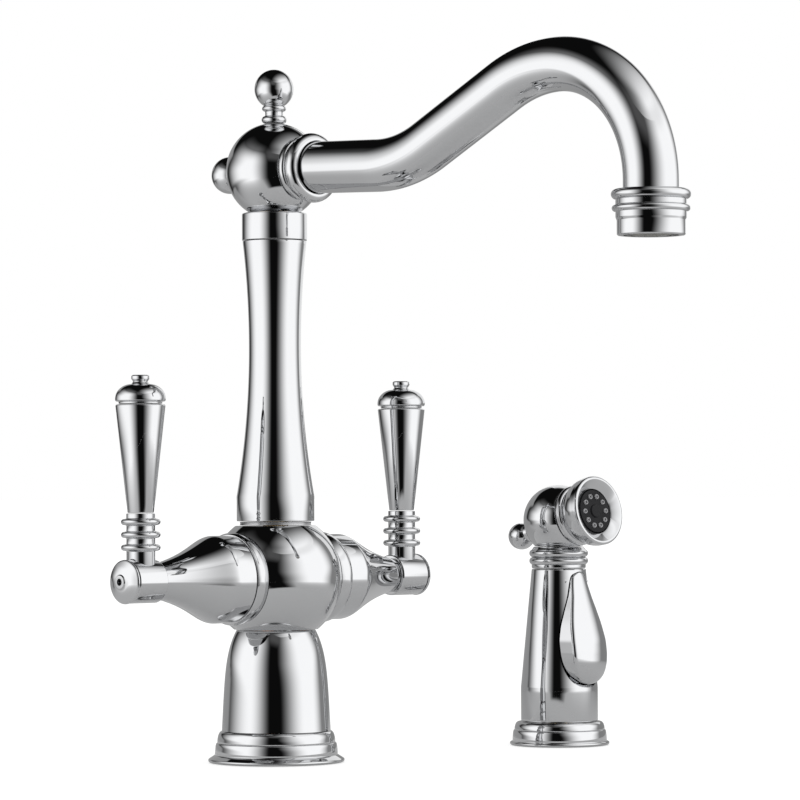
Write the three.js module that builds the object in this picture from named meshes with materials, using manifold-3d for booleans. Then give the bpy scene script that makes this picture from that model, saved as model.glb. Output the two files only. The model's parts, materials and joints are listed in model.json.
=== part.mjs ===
// Kitchen faucet with two levers, a swivelling swan-neck spout and a separate side spray.
// Millimetres, +Z up. The origin is the centre of the faucet's base, on the deck. The spout
// points along -Y, both handles turn about one axis along X, and the spray stands at +X.

import * as THREE from 'three';
import { mergeVertices } from 'three/addons/utils/BufferGeometryUtils.js';
import Module from 'manifold-3d';

const wasm = await Module();
wasm.setup();

// ---- Driving dimensions ----

const clearance = 0.3;              // gap between any two pieces that seat on each other
const edgeBreak = 0.5;              // small bevel on turned edges
const beadSweep = 80;               // degrees from a bead's crown to each of its ends
const lipSweep = [-20, 90];         // degrees of a flange's round lip

// Base flange and its gasket
const baseLipRadius = 33.2;
const baseLipHeight = 3.4;
const baseOvoloFootRadius = 29.9;
const baseOvoloTopRadius = 29.0;
const baseOvoloHeight = 6.1;
const baseCoveRadius = 28.8;
const baseTopRadius = 26.7;
const baseCoveHeight = 5.5;
const baseHoleRadius = 19;
const gasketWidth = 6;
const gasketThickness = 1.5;
const gasketRim = 2.8;              // metal left between the gasket and the lip's edge

// Pedestal
const pedestalHeight = 48.9;
const pedestalFootRadius = 26.5;
const pedestalTaper = 2.6;          // steady narrowing over the whole height
const pedestalShoulder = 4.7;       // further narrowing near the top
const pedestalBoreRadius = 21;
const pedestalBoreHeight = 31;

// Supply tubes and mounting stud, which stand in the pedestal
const tubeRadius = 4;
const tubeWall = 0.8;
const tubeCircleRadius = 12;
const socketDepth = 8;
const studRadius = 5;
const pedestalNeckBoreRadius = tubeCircleRadius + tubeRadius + clearance;

// Valve body
const bodyBallRadius = 32.2;
const bodyFootFlatRadius = 20.5;
const bodyTopFlatRadius = 19.6;
const bodySideFlatRadius = 21.3;
const mixingChamberRadius = 7;
const waterwayRadius = 2.6;
const diverterBoreRadius = 11;
const diverterFloor = 1.5;           // metal between the diverter and the cartridges

// Column
const seatRingRadius = 17;
const seatRingHeight = 1.6;
const columnFootRadius = 18.95;
const columnFootHeight = 11.9;
const columnWaistRadius = 12.67;
const columnLowerHeight = 73.2;
const columnUpperHeight = 51.6;
const columnTopRadius = 15.6;
const columnNippleDepth = 9;
const columnBoreRadius = 8;
const columnBoreHeight = 26;
const columnWaterwayRadius = 6;
const spigotDepth = 38;

// Diverter
const diverterFlangeHeight = 4;
const diverterLength = 27;
const diverterWaterwayRadius = 3.5;
const diverterGrooveDepth = 1.5;

// Spout swivel
const collarRadius = 15.9;
const collarHeight = 13.3;
const spigotRadius = 9.7;
const spigotBoreRadius = 6;
const spigotHeadHeight = 8;
const sealSection = 1.4;            // thickness of the O-rings
const sealGap = 0.25;
const sealGrooveWidth = 2.6;
const sealSpacing = 15;
const glideRingThickness = 1;
const glideRingWidth = 4.2;
const spoutBallRadius = 23.6;
const spoutBallFootFlatRadius = 12.1;
const spoutBallFrontFlatRadius = 15;
const spoutBallRearFlatRadius = 5.6;
const spoutBallTopFlatRadius = 5;

// Finials
const finialPinRadius = 2.7;
const finialPinLength = 8;
const finialBeadRadius = 5.9;
const finialBeadSection = 1.35;
const finialNeckRadius = 4.4;
const finialBeadSpacing = 6;
const topKnobRadius = 9.55;
const topKnobHeight = 17.2;         // from the foot to the middle of the ball
const rearKnobRadius = 9.1;
const rearKnobHeight = 9.2;

// Spout tube and its ring
const spoutTubeRadius = 12.5;
const spoutTubeWall = 1.4;
const spoutSocketDepth = 6;
const spoutRingLength = 12.2;
const spoutFilletRadius = 15.5;
const spoutFilletSection = 1.6;
const spoutRingBoreGap = 0.6;       // between the ring and the tube, which bends a little inside it
const spoutBeadRadius = 16.8;
const spoutBeadSection = 3.7;
const spoutDipRadius = 12.2;         // bend from the ring into the falling run
const spoutRunLength = 40.5;        // straight run beyond the ring
const spoutDrop = 2.4;              // degrees the run falls
const spoutRise = 26;               // degrees the middle climbs
const riseBendRadius = 72;
const riseLength = 54.2;
const crestBendRadius = 75.3;
const hookBendRadius = 56;
const hookLegLength = 9.9;

// Outlet
const outletBeadRadius = 17.85;
const outletBeadSection = 2.3;
const outletBandRadius = 15.6;
const outletSecondBeadRadius = 17.1;
const outletSecondBeadSection = 1.5;
const outletBeadSpacing = 6.2;
const outletNoseRadius = 14.9;
const outletNoseHeight = 12.1;      // from the second bead's middle down to the lip
const outletNoseShare = 0.45;       // straight part of the nose
const outletBandShare = 0.67;       // foot of the band above the nose
const outletBeadHeight = 3.6;       // upper bead's middle above the tube's end
const aeratorRadius = 12;
const aeratorRecess = 1.8;
const aeratorRimWidth = 2.5;
const aeratorScreenRecess = 2.4;

// Trim ring and bonnet on each side of the valve body
const trimRingLength = 7;
const trimRingRadius = 22.3;
const trimRingBoreRadius = 15.4;
const trimRingLip = 0.8;            // bevel on its outer edge
const bonnetBandRadius = 20.65;
const bonnetBandLength = 9.8;
const bonnetConeLength = 27.7;
const bonnetShoulderRadius = 19.4;
const bonnetShoulderLength = 8.4;
const bonnetNeckRadius = 8.9;
const bonnetWall = 4.6;

// Valve cartridges
const cartridgeRadius = 10.5;
const cartridgeInset = 8.2;         // inner end from the faucet's axis
const cartridgeFlangeRadius = 12.5;
const cartridgeFlangeLength = 2.4;
const cartridgeNoseRadius = 9;
const cartridgeNoseLength = 20;
const bonnetNutLength = 6;
const bonnetNutRadius = 14.4;       // across corners
const spindleRadius = 4;
const spindleOverlap = 7;           // spindle inside the cartridge's nose

// Handles
const hubRadius = 9.1;
const hubLength = 26.4;
const leverOffset = 17.45;          // lever's axis from the hub's inner end
const hubBoreLength = 12;
const hubCapLength = 4.2;
const hubCapHoleRadius = 2.3;
const hubCapButtonRadius = 4.4;
const hubCapDome = [[0.94, 0.1], [0.86, 0.38], [0.62, 0.72]];  // shares of the radius and length
const hubScrewHeadRadius = 3.7;
const hubScrewHeadLength = 3;
const hubScrewRadius = 1.5;
const hubScrewLength = 15;
const leverStemRadius = 6.8;
const leverRingRadius = 9.35;
const leverRingSection = 1.45;
const leverRingSpacing = 6.05;
const leverRingFillet = 0.2;        // beyond each side of a ring
const leverFirstRing = 16.5;        // first ring above the hub's axis
const leverCollarHeight = 4;        // above the middle of the last ring
const leverPinRadius = 3;
const leverPinLength = 7;
const leverSocketHeight = 4;        // bottom of the lever's pin above the hub's axis
const gripFootRadius = 6.2;
const gripTopRadius = 11.8;
const gripLength = 49.2;
const capGrooveRadius = 10.3;
const capGrooveHeight = 1.1;
const capRadius = 11.93;
const capBandHeight = 3.2;
const capDomeHeight = 6.9;
const capFlareRadius = 4.3;
const capNeckRadius = 3.4;
const capDiscRadius = 4.25;
const capDiscHeight = 2.3;
const capNeckHeight = 2.6;

// Side spray's holder
const sprayX = 182.6;
const sprayY = -19.4;
const sprayLipRadius = 25.8;
const sprayLipHeight = 1.9;
const sprayOvoloRadius = 24.4;
const sprayOvoloTopRadius = 23.6;
const sprayOvoloHeight = 6;
const sprayCoveRadius = 23.4;
const sprayTopRadius = 21.3;
const sprayCoveHeight = 4.1;
const sprayHoleRadius = 14;
const sprayGuideWall = 2.9;
const sprayGasketWidth = 5;

// Spray wand
const wandFootRadius = 19.9;
const wandFootHeight = 17.3;
const wandTopRadius = 14;
const wandConeHeight = 61.2;
const wandBoreRadius = 9.5;
const wandBoreHeight = 71.5;
const wandWaterwayRadius = 6;
const neckBeadRadius = 15.2;
const neckBeadSection = 2;
const neckBeadSpacing = 3.9;
const neckFootHeight = 3.9;         // first bead's middle above the ring's foot
const neckTopHeight = 3.4;          // ring's top above the second bead's middle
const neckTopRadius = 13.2;
const wandBallRadius = 18.15;
const wandBallFootFlatRadius = 12.2;
const wandBallFrontFlatRadius = 14.5;
const wandBallRearFlatRadius = 4.4;
const wandKnobRadius = 6.95;
const wandKnobHeight = 9.9;
const wandKnobTilt = 18;            // degrees below level
const headTilt = 10.4;              // degrees above level

// Spray head
const headBeadRadius = 15.6;
const headBeadLength = 4.9;
const headBeadSection = 2.1;
const bellRootRadius = 14.3;
const bellRadius = 17.8;
const bellLength = 13;
const bellRimWidth = 0.9;
const bellChamberRadius = 10;
const bellFloorThickness = 4;
const bezelDepth = 3;
const faceRadius = 11.8;
const faceThickness = 3;
const nozzleCount = 10;
const nozzleCircleRadius = 8.2;
const nozzleRadius = 1.15;
const nozzleHeight = 0.8;
const faceBossRadius = 3.6;
const faceBossSlope = 0.6;

// Trigger and the valve that it presses
const triggerTipGap = 1.8;          // below the wand's top
const triggerLength = 57.4;
const triggerHalfWidth = 12.7;
const triggerRise = 6.1;            // most that its face stands out from the wand's cone
const triggerCrown = 0.28;          // rise of the crown, as a share of the half width
const triggerBack = 13;             // back face from the wand's axis
const triggerKnuckleBack = 8.2;
const triggerKnuckleShare = 0.72;    // where the knuckle starts, as a share of the length
const triggerSlotGap = 0.5;
const triggerSlotDepth = 5;
const triggerFootGap = 1.5;
const triggerFootShare = 0.4;       // where that gap has closed up, as a share of the length
const pivotDrop = 4.4;              // below the trigger's tip
const pivotReach = 11;              // forward of the wand's axis
const pivotPinRadius = 1.5;
const pivotPinLength = 17;
const plungerDrop = 31;             // below the trigger's tip
const plungerStemRadius = 1.8;
const plungerStemLength = 15;
const plungerHeadRadius = 3.7;
const plungerHeadLength = 1.2;
const valveBlockHeight = 24;
const springChamberRadius = 4.3;
const springChamberDepth = 7.4;
const springWireRadius = 0.4;
const springRadius = 3;
const springTurns = 4;
const couplingRadius = 7;
const couplingLength = 16;
const couplingHeadHeight = 8;

// Facets
const largeSides = 16;
const mediumSides = 12;
const smallSides = 10;
const tinySides = 8;

// ---- Finishes ----

const chrome = new THREE.MeshStandardMaterial({ color: 0xd9dcdf, roughness: 0.06, metalness: 1 });
const brass = new THREE.MeshStandardMaterial({ color: 0xc9a55c, roughness: 0.35, metalness: 1 });
const copper = new THREE.MeshStandardMaterial({ color: 0xb87350, roughness: 0.35, metalness: 1 });
const steel = new THREE.MeshStandardMaterial({ color: 0xa8abad, roughness: 0.3, metalness: 1 });
const rubber = new THREE.MeshStandardMaterial({ color: 0x1c1c1e, roughness: 0.7, metalness: 0 });
const nylon = new THREE.MeshStandardMaterial({ color: 0xe6e4dc, roughness: 0.5, metalness: 0 });

// ---- Building helpers ----

// Merges shared vertices and drops triangles of no area, so that the surface is closed.
function closed(geometry) {
  geometry.deleteAttribute('normal');
  geometry.deleteAttribute('uv');
  const merged = mergeVertices(geometry, 1e-4);
  const corners = merged.index.array;
  const kept = [];
  for (let i = 0; i < corners.length; i += 3) {
    const [a, b, c] = corners.slice(i, i + 3);
    if (a !== b && b !== c && c !== a) {
      kept.push(a, b, c);
    }
  }
  merged.setIndex(kept);
  return merged;
}

// Turns a profile of [radius, height] points about Z. It goes up the outside, and then
// either ends on the axis or comes down the inside and closes on its first point.
function lathe(profile, sides) {
  const points = profile.map(([radius, height]) => new THREE.Vector2(radius, height));
  const geometry = new THREE.LatheGeometry(points, sides);
  geometry.rotateX(Math.PI / 2);
  return closed(geometry);
}

function ring(profile, sides) {
  return lathe([...profile, profile[0]], sides);
}

function rod(radius, bottom, top, sides) {
  return lathe([[0, bottom], [radius, bottom], [radius, top], [0, top]], sides);
}

function sleeve(innerRadius, outerRadius, bottom, top, sides) {
  return ring([[innerRadius, bottom], [outerRadius, bottom], [outerRadius, top], [innerRadius, top]], sides);
}

// Points on an arc in a profile, from one angle to another in degrees, 0 pointing outwards.
function arc(radius, height, size, from, to, steps) {
  const points = [];
  for (let i = 0; i <= steps; i += 1) {
    const angle = THREE.MathUtils.degToRad(from + (to - from) * i / steps);
    points.push([radius + size * Math.cos(angle), height + size * Math.sin(angle)]);
  }
  return points;
}

// A bead of round section whose outermost radius is given.
function bead(outerRadius, height, section, steps) {
  return arc(outerRadius - section, height, section, -beadSweep, beadSweep, steps);
}

// Quarter-round moulding from a wide foot to a narrower top.
function ovolo(footRadius, footHeight, topRadius, topHeight, steps) {
  const points = [];
  for (let i = 0; i <= steps; i += 1) {
    const angle = Math.PI / 2 * i / steps;
    const radius = topRadius + (footRadius - topRadius) * Math.cos(angle);
    points.push([radius, footHeight + (topHeight - footHeight) * Math.sin(angle)]);
  }
  return points;
}

// Distance of a flat of the given radius from the middle of a ball.
function flatOffset(ballRadius, flatRadius) {
  return Math.sqrt(ballRadius ** 2 - flatRadius ** 2);
}

// A ball's profile between two flats, centred on height 0.
function ballProfile(ballRadius, footFlatRadius, topFlatRadius, steps) {
  const from = -THREE.MathUtils.radToDeg(Math.acos(footFlatRadius / ballRadius));
  const to = THREE.MathUtils.radToDeg(Math.acos(topFlatRadius / ballRadius));
  return [[0, -flatOffset(ballRadius, footFlatRadius)], ...arc(0, 0, ballRadius, from, to, steps),
    [0, flatOffset(ballRadius, topFlatRadius)]];
}

function solid(geometry) {
  const mesh = new wasm.Mesh({
    numProp: 3,
    vertProperties: new Float32Array(geometry.attributes.position.array),
    triVerts: new Uint32Array(geometry.index.array),
  });
  return new wasm.Manifold(mesh);
}

function surface(manifold) {
  const mesh = manifold.getMesh();
  const geometry = new THREE.BufferGeometry();
  geometry.setAttribute('position', new THREE.BufferAttribute(mesh.vertProperties, 3));
  geometry.setIndex(new THREE.BufferAttribute(mesh.triVerts, 1));
  return geometry;
}

function cut(geometry, ...tools) {
  return surface(tools.reduce((rest, tool) => rest.subtract(solid(tool)), solid(geometry)));
}

function join(geometry, ...others) {
  return surface(others.reduce((whole, other) => whole.add(solid(other)), solid(geometry)));
}

// Lays a turned piece down so that its own +Z points along the named direction.
const forward = (geometry) => geometry.rotateX(Math.PI / 2);
const backward = (geometry) => geometry.rotateX(-Math.PI / 2);
const outward = (geometry) => geometry.rotateY(Math.PI / 2);

// Outline of a round or many-sided bar, as a shape to extrude.
function roundOutline(radius, sides) {
  const corners = [];
  for (let i = 0; i < sides; i += 1) {
    const angle = 2 * Math.PI * i / sides;
    corners.push(new THREE.Vector2(radius * Math.cos(angle), radius * Math.sin(angle)));
  }
  return new THREE.Shape(corners);
}

// Sweeps an outline along a curve whose stations are evenly spaced in its own parameter.
function sweep(outline, path, steps) {
  path.getUtoTmapping = (u) => u;
  return closed(new THREE.ExtrudeGeometry(outline, { steps, extrudePath: path, bevelEnabled: false }));
}

// ---- Heights and reaches that follow from the sizes ----

const baseTop = baseLipHeight + baseOvoloHeight + baseCoveHeight;
const pedestalFoot = baseTop + clearance;
const pedestalTop = pedestalFoot + pedestalHeight;
const bodyFoot = pedestalTop + clearance;
const handleAxisHeight = bodyFoot + flatOffset(bodyBallRadius, bodyFootFlatRadius);
const bodyTop = handleAxisHeight + flatOffset(bodyBallRadius, bodyTopFlatRadius);
const bodySide = flatOffset(bodyBallRadius, bodySideFlatRadius);
const seatRingFoot = bodyTop + clearance;
const columnFoot = seatRingFoot + seatRingHeight + clearance;
const columnCrease = columnFoot + columnFootHeight;
const columnWaist = columnCrease + columnLowerHeight;
const columnTop = columnWaist + columnUpperHeight;
const columnNippleFoot = columnFoot - columnNippleDepth;
const columnNippleRadius = diverterBoreRadius - clearance;
const diverterBoreFoot = handleAxisHeight + cartridgeRadius + clearance + diverterFloor;
const diverterFoot = diverterBoreFoot + clearance;
const collarFoot = columnTop + clearance;
const collarTop = collarFoot + collarHeight;
const spoutBallFoot = collarTop + clearance;
const spoutAxisHeight = spoutBallFoot + flatOffset(spoutBallRadius, spoutBallFootFlatRadius);
const spoutBallTop = spoutAxisHeight + flatOffset(spoutBallRadius, spoutBallTopFlatRadius);
const spoutBallFront = flatOffset(spoutBallRadius, spoutBallFrontFlatRadius);
const spoutBallRear = flatOffset(spoutBallRadius, spoutBallRearFlatRadius);
const spigotFoot = columnTop - spigotDepth + clearance;
const spigotTop = spoutBallFoot + spigotHeadHeight;
const spigotHoleRadius = spigotRadius + clearance;
const trimRingStart = bodySide + clearance;
const bonnetStart = trimRingStart + trimRingLength + clearance;
const bonnetEnd = bonnetStart + bonnetBandLength + bonnetConeLength;
const hubStart = bonnetEnd + clearance;
const hubEnd = hubStart + hubLength;
const leverReach = hubStart + leverOffset;
const cartridgeEnd = trimRingStart + cartridgeFlangeLength + cartridgeNoseLength;
const spindleHoleRadius = spindleRadius + clearance;
const leverLastRing = leverFirstRing + 2 * leverRingSpacing;
const leverStemTop = leverLastRing + leverCollarHeight;
const gripFoot = leverStemTop + clearance;
const gripTop = gripFoot + gripLength;
const leverCapFoot = gripTop + clearance;
const sprayTop = sprayLipHeight + sprayOvoloHeight + sprayCoveHeight;
const wandFoot = sprayTop + clearance;
const wandCrease = wandFoot + wandFootHeight;
const wandTop = wandCrease + wandConeHeight;
const triggerTop = wandTop - triggerTipGap;
const triggerFoot = triggerTop - triggerLength;
const pivotHeight = triggerTop - pivotDrop;
const plungerHeight = triggerTop - plungerDrop;
const neckFoot = wandTop + clearance;
const neckTop = neckFoot + neckFootHeight + neckBeadSpacing + neckTopHeight;
const wandBallFoot = neckTop + clearance;
const wandBallHeight = wandBallFoot + flatOffset(wandBallRadius, wandBallFootFlatRadius);
const wandBallFront = flatOffset(wandBallRadius, wandBallFrontFlatRadius);
const wandBallRear = flatOffset(wandBallRadius, wandBallRearFlatRadius);
const headStart = wandBallFront + clearance;
const bellStart = headStart + headBeadLength;
const bellEnd = bellStart + bellLength;

// ---- Base ----

// A stepped flange, recessed below for its gasket.
function deckFlange(lipRadius, lipHeight, mouldings, holeRadius, recessRadius) {
  const recess = gasketThickness + clearance;
  const top = mouldings.at(-1).at(-1)[1];
  return ring([
    [recessRadius, 0],
    [lipRadius - lipHeight / 4, 0],
    ...arc(lipRadius - lipHeight / 2, lipHeight / 2, lipHeight / 2, ...lipSweep, 2),
    ...mouldings.flat(),
    [holeRadius, top],
    [holeRadius, recess],
    [recessRadius, recess],
  ], largeSides);
}

const gasketOuterRadius = baseLipRadius - gasketRim;

function baseFlange() {
  const crease = baseLipHeight + baseOvoloHeight;
  const mouldings = [
    ovolo(baseOvoloFootRadius, baseLipHeight, baseOvoloTopRadius, crease, 2),
    ovolo(baseCoveRadius, crease, baseTopRadius, baseTop, 2),
  ];
  return deckFlange(baseLipRadius, baseLipHeight, mouldings, baseHoleRadius,
    gasketOuterRadius + clearance);
}

function baseGasket() {
  return sleeve(gasketOuterRadius - gasketWidth, gasketOuterRadius, 0, gasketThickness, largeSides);
}

// Bell-shaped pedestal, hollow for the tubes.
function pedestal() {
  const outside = [];
  const steps = [0, 0.5, 0.78, 0.92, 1];
  for (const t of steps) {
    const radius = pedestalFootRadius - pedestalTaper * t - pedestalShoulder * t ** 5;
    outside.push([radius, pedestalFoot + pedestalHeight * t]);
  }
  const boreTop = pedestalFoot + pedestalBoreHeight;
  const neckFoot = boreTop + pedestalBoreRadius - pedestalNeckBoreRadius;
  return ring([
    ...outside,
    [pedestalNeckBoreRadius, pedestalTop],
    [pedestalNeckBoreRadius, neckFoot],
    [pedestalBoreRadius, boreTop],
    [pedestalBoreRadius, pedestalFoot],
  ], largeSides);
}

const tubeAngles = { hot_supply_tube: 210, cold_supply_tube: -30, spray_supply_tube: 90 };

function tubePlace(angle) {
  const turn = THREE.MathUtils.degToRad(angle);
  return [tubeCircleRadius * Math.cos(turn), tubeCircleRadius * Math.sin(turn)];
}

const supplyTube = () => sleeve(tubeRadius - tubeWall, tubeRadius, 0,
  bodyFoot + socketDepth - clearance, tinySides);

const mountingStud = () => rod(studRadius, 0, bodyFoot + socketDepth - clearance, tinySides);

// ---- Valve body ----

function valveBody() {
  const profile = ballProfile(bodyBallRadius, bodyFootFlatRadius, bodyTopFlatRadius, 8);
  const ball = lathe(profile, largeSides).translate(0, 0, handleAxisHeight);
  const socketTop = bodyFoot + socketDepth;
  const chamberFoot = handleAxisHeight - mixingChamberRadius;
  const below = bodyFoot - 1;
  const above = bodyTop + 1;
  const cartridgeBore = cartridgeRadius + clearance;
  const cartridgeBoreEnd = cartridgeInset - clearance;
  const tools = [
    rod(mixingChamberRadius, chamberFoot, above, tinySides),
    rod(diverterBoreRadius, diverterBoreFoot, above, largeSides),
    rod(studRadius + clearance, below, socketTop, tinySides),
    outward(rod(waterwayRadius, -bodySide, bodySide, tinySides)).translate(0, 0, handleAxisHeight),
  ];
  for (const angle of Object.values(tubeAngles)) {
    const [x, y] = tubePlace(angle);
    const waterwayTop = y > 0 ? diverterBoreFoot + waterwayRadius : handleAxisHeight - waterwayRadius;
    tools.push(rod(tubeRadius + clearance, below, socketTop, tinySides).translate(x, y, 0));
    tools.push(rod(waterwayRadius, below, waterwayTop, tinySides).translate(x, y, 0));
  }
  for (const side of [0, Math.PI]) {
    const bore = outward(rod(cartridgeBore, cartridgeBoreEnd, bodyBallRadius + 1, mediumSides));
    const facing = outward(rod(bodyBallRadius, bodySide, bodyBallRadius + 1, largeSides));
    tools.push(bore.rotateZ(side).translate(0, 0, handleAxisHeight));
    tools.push(facing.rotateZ(side).translate(0, 0, handleAxisHeight));
  }
  return cut(ball, ...tools);
}

function trimRing() {
  const end = trimRingStart + trimRingLength;
  return ring([
    [trimRingBoreRadius, trimRingStart],
    [bodySideFlatRadius, trimRingStart],
    [trimRingRadius, trimRingStart + trimRingLength / 2],
    [trimRingRadius, end - 2 * trimRingLip],
    [trimRingRadius - trimRingLip, end],
    [trimRingBoreRadius, end],
  ], largeSides);
}

// A plain band, then one smooth curve down to the neck.
function bonnet() {
  const bandEnd = bonnetStart + bonnetBandLength;
  const curve = new THREE.QuadraticBezierCurve(
    new THREE.Vector2(bonnetBandRadius, bandEnd),
    new THREE.Vector2(bonnetShoulderRadius, bandEnd + bonnetShoulderLength),
    new THREE.Vector2(bonnetNeckRadius, bonnetEnd),
  );
  const outside = curve.getPoints(5).map((point) => [point.x, point.y]);
  const chamberRadius = bonnetBandRadius - bonnetWall;
  const chamberEnd = bandEnd + bonnetShoulderLength - bonnetWall;
  const coneEnd = bonnetEnd - bonnetWall * 2;
  return ring([
    [chamberRadius, bonnetStart],
    [bonnetBandRadius, bonnetStart],
    ...outside,
    [spindleHoleRadius, bonnetEnd],
    [spindleHoleRadius, coneEnd],
    [chamberRadius, chamberEnd],
  ], largeSides);
}

function cartridge() {
  const flangeEnd = trimRingStart + cartridgeFlangeLength;
  const holeStart = cartridgeEnd - spindleOverlap - clearance;
  return lathe([
    [0, cartridgeInset],
    [cartridgeRadius, cartridgeInset],
    [cartridgeRadius, trimRingStart],
    [cartridgeFlangeRadius, trimRingStart],
    [cartridgeFlangeRadius, flangeEnd],
    [cartridgeNoseRadius, flangeEnd],
    [cartridgeNoseRadius, cartridgeEnd],
    [spindleHoleRadius, cartridgeEnd],
    [spindleHoleRadius, holeStart],
    [0, holeStart],
  ], mediumSides);
}

// Six-sided nut that holds the cartridge against the body.
function bonnetNut() {
  const outline = roundOutline(bonnetNutRadius, 6);
  outline.holes.push(roundOutline(cartridgeNoseRadius + clearance, mediumSides));
  const options = { depth: bonnetNutLength, bevelEnabled: false };
  const geometry = closed(new THREE.ExtrudeGeometry(outline, options));
  return geometry.translate(0, 0, trimRingStart + cartridgeFlangeLength + clearance);
}

// ---- Column ----

const seatRing = () => ring([
  [columnNippleRadius + clearance, seatRingFoot],
  [seatRingRadius, seatRingFoot],
  [seatRingRadius - edgeBreak, seatRingFoot + seatRingHeight / 2],
  [seatRingRadius, seatRingFoot + seatRingHeight],
  [columnNippleRadius + clearance, seatRingFoot + seatRingHeight],
], largeSides);

// Straight foot, then two parabolas that meet at the waist.
function column() {
  const outside = [[columnFootRadius, columnFoot]];
  const lowerSteps = 5;
  for (let i = 0; i <= lowerSteps; i += 1) {
    const t = 1 - i / lowerSteps;
    outside.push([columnWaistRadius + (columnFootRadius - columnWaistRadius) * t ** 2,
      columnWaist - columnLowerHeight * t]);
  }
  const upperSteps = 3;
  for (let i = 1; i <= upperSteps; i += 1) {
    const t = i / upperSteps;
    outside.push([columnWaistRadius + (columnTopRadius - columnWaistRadius) * t ** 2,
      columnWaist + columnUpperHeight * t]);
  }
  const boreTop = columnFoot + columnBoreHeight;
  return ring([
    [columnBoreRadius, columnNippleFoot],
    [columnNippleRadius, columnNippleFoot],
    [columnNippleRadius, columnFoot],
    ...outside,
    [spigotHoleRadius, columnTop],
    [spigotHoleRadius, columnTop - spigotDepth],
    [columnWaterwayRadius, columnTop - spigotDepth],
    [columnWaterwayRadius, boreTop],
    [columnBoreRadius, boreTop],
  ], largeSides);
}

// Sends the water to the spray while the spray's valve is open.
function diverter() {
  const shoulder = diverterFoot + diverterFlangeHeight;
  const top = diverterFoot + diverterLength;
  const radius = columnBoreRadius - clearance;
  const grooveFoot = columnNippleFoot + diverterFlangeHeight;
  const grooveTop = top - diverterFlangeHeight;
  return ring([
    [diverterWaterwayRadius, diverterFoot],
    [columnNippleRadius, diverterFoot],
    [columnNippleRadius, shoulder],
    [radius, shoulder],
    [radius, grooveFoot],
    [radius - diverterGrooveDepth, grooveFoot],
    [radius - diverterGrooveDepth, grooveTop],
    [radius, grooveTop],
    [radius, top],
    [diverterWaterwayRadius, top],
  ], tinySides);
}

// ---- Swivelling spout ----

const upperSealHeight = columnTop - sealSpacing / 2;
const lowerSealHeight = upperSealHeight - sealSpacing;
const glideInnerRadius = spigotHoleRadius + clearance;
const glideOuterRadius = glideInnerRadius + glideRingWidth - 2 * clearance;

function swivelCollar() {
  const recess = glideRingThickness + clearance;
  const recessRadius = glideOuterRadius + clearance;
  return ring([
    [recessRadius, collarFoot],
    [collarRadius, collarFoot],
    [collarRadius, collarTop - edgeBreak],
    [collarRadius - edgeBreak, collarTop],
    [spigotHoleRadius, collarTop],
    [spigotHoleRadius, collarFoot + recess],
    [recessRadius, collarFoot + recess],
  ], largeSides);
}

const glideRing = () => sleeve(glideInnerRadius, glideOuterRadius, collarFoot,
  collarFoot + glideRingThickness, largeSides);

function spoutSpigot() {
  const grooveRadius = spigotHoleRadius - sealGap - sealSection - clearance;
  const grooves = [lowerSealHeight, upperSealHeight].flatMap((height) => [
    [spigotRadius, height - sealGrooveWidth / 2],
    [grooveRadius, height - sealGrooveWidth / 2],
    [grooveRadius, height + sealGrooveWidth / 2],
    [spigotRadius, height + sealGrooveWidth / 2],
  ]);
  return ring([
    [spigotBoreRadius, spigotFoot],
    [spigotRadius, spigotFoot],
    ...grooves,
    [spigotRadius, spigotTop - clearance],
    [spigotBoreRadius, spigotTop - clearance],
  ], mediumSides);
}

function sealRing(height) {
  const section = sealSection / 2;
  const middle = spigotHoleRadius - sealGap - section;
  const profile = arc(middle, height, section, 0, 360, 5);
  return lathe(profile, mediumSides);
}

function spoutBall() {
  const profile = ballProfile(spoutBallRadius, spoutBallFootFlatRadius, spoutBallTopFlatRadius, 8);
  const ball = lathe(profile, largeSides).translate(0, 0, spoutAxisHeight);
  const outside = spoutBallRadius + 1;
  const pinHole = finialPinRadius + clearance;
  const pinDepth = finialPinLength + clearance;
  const socket = spoutTubeRadius + clearance;
  const tubeEnd = spoutBallFront - spoutSocketDepth - clearance;
  return cut(
    ball,
    rod(spigotHoleRadius, spoutBallFoot - 1, spigotTop, mediumSides),
    rod(spigotBoreRadius, spoutBallFoot, spoutAxisHeight, mediumSides),
    rod(pinHole, spoutBallTop - pinDepth, spoutBallTop + 1, tinySides),
    forward(rod(spoutBallRadius, spoutBallFront, outside, largeSides)).translate(0, 0, spoutAxisHeight),
    forward(rod(socket, tubeEnd, outside, largeSides)).translate(0, 0, spoutAxisHeight),
    forward(rod(spigotBoreRadius, 0, outside, mediumSides)).translate(0, 0, spoutAxisHeight),
    backward(rod(rearKnobRadius, spoutBallRear, outside, smallSides)).translate(0, 0, spoutAxisHeight),
    backward(rod(pinHole, spoutBallRear - pinDepth, outside, tinySides))
      .translate(0, 0, spoutAxisHeight),
  );
}

// Two beads and a ball, turned from one bar, with a pin below.
function topFinial() {
  const foot = clearance;
  const firstBead = foot + finialBeadSection;
  const secondBead = firstBead + finialBeadSpacing;
  const knobStart = -THREE.MathUtils.radToDeg(Math.acos(finialNeckRadius / topKnobRadius));
  return lathe([
    [0, foot - finialPinLength],
    [finialPinRadius, foot - finialPinLength],
    [finialPinRadius, foot],
    ...bead(finialBeadRadius, firstBead, finialBeadSection, 3),
    [finialNeckRadius, firstBead + finialBeadSpacing / 2],
    ...bead(finialBeadRadius, secondBead, finialBeadSection, 3),
    [finialNeckRadius, secondBead + finialBeadSpacing / 2],
    ...arc(0, topKnobHeight, topKnobRadius, knobStart, 90, 7),
  ], smallSides);
}

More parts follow.
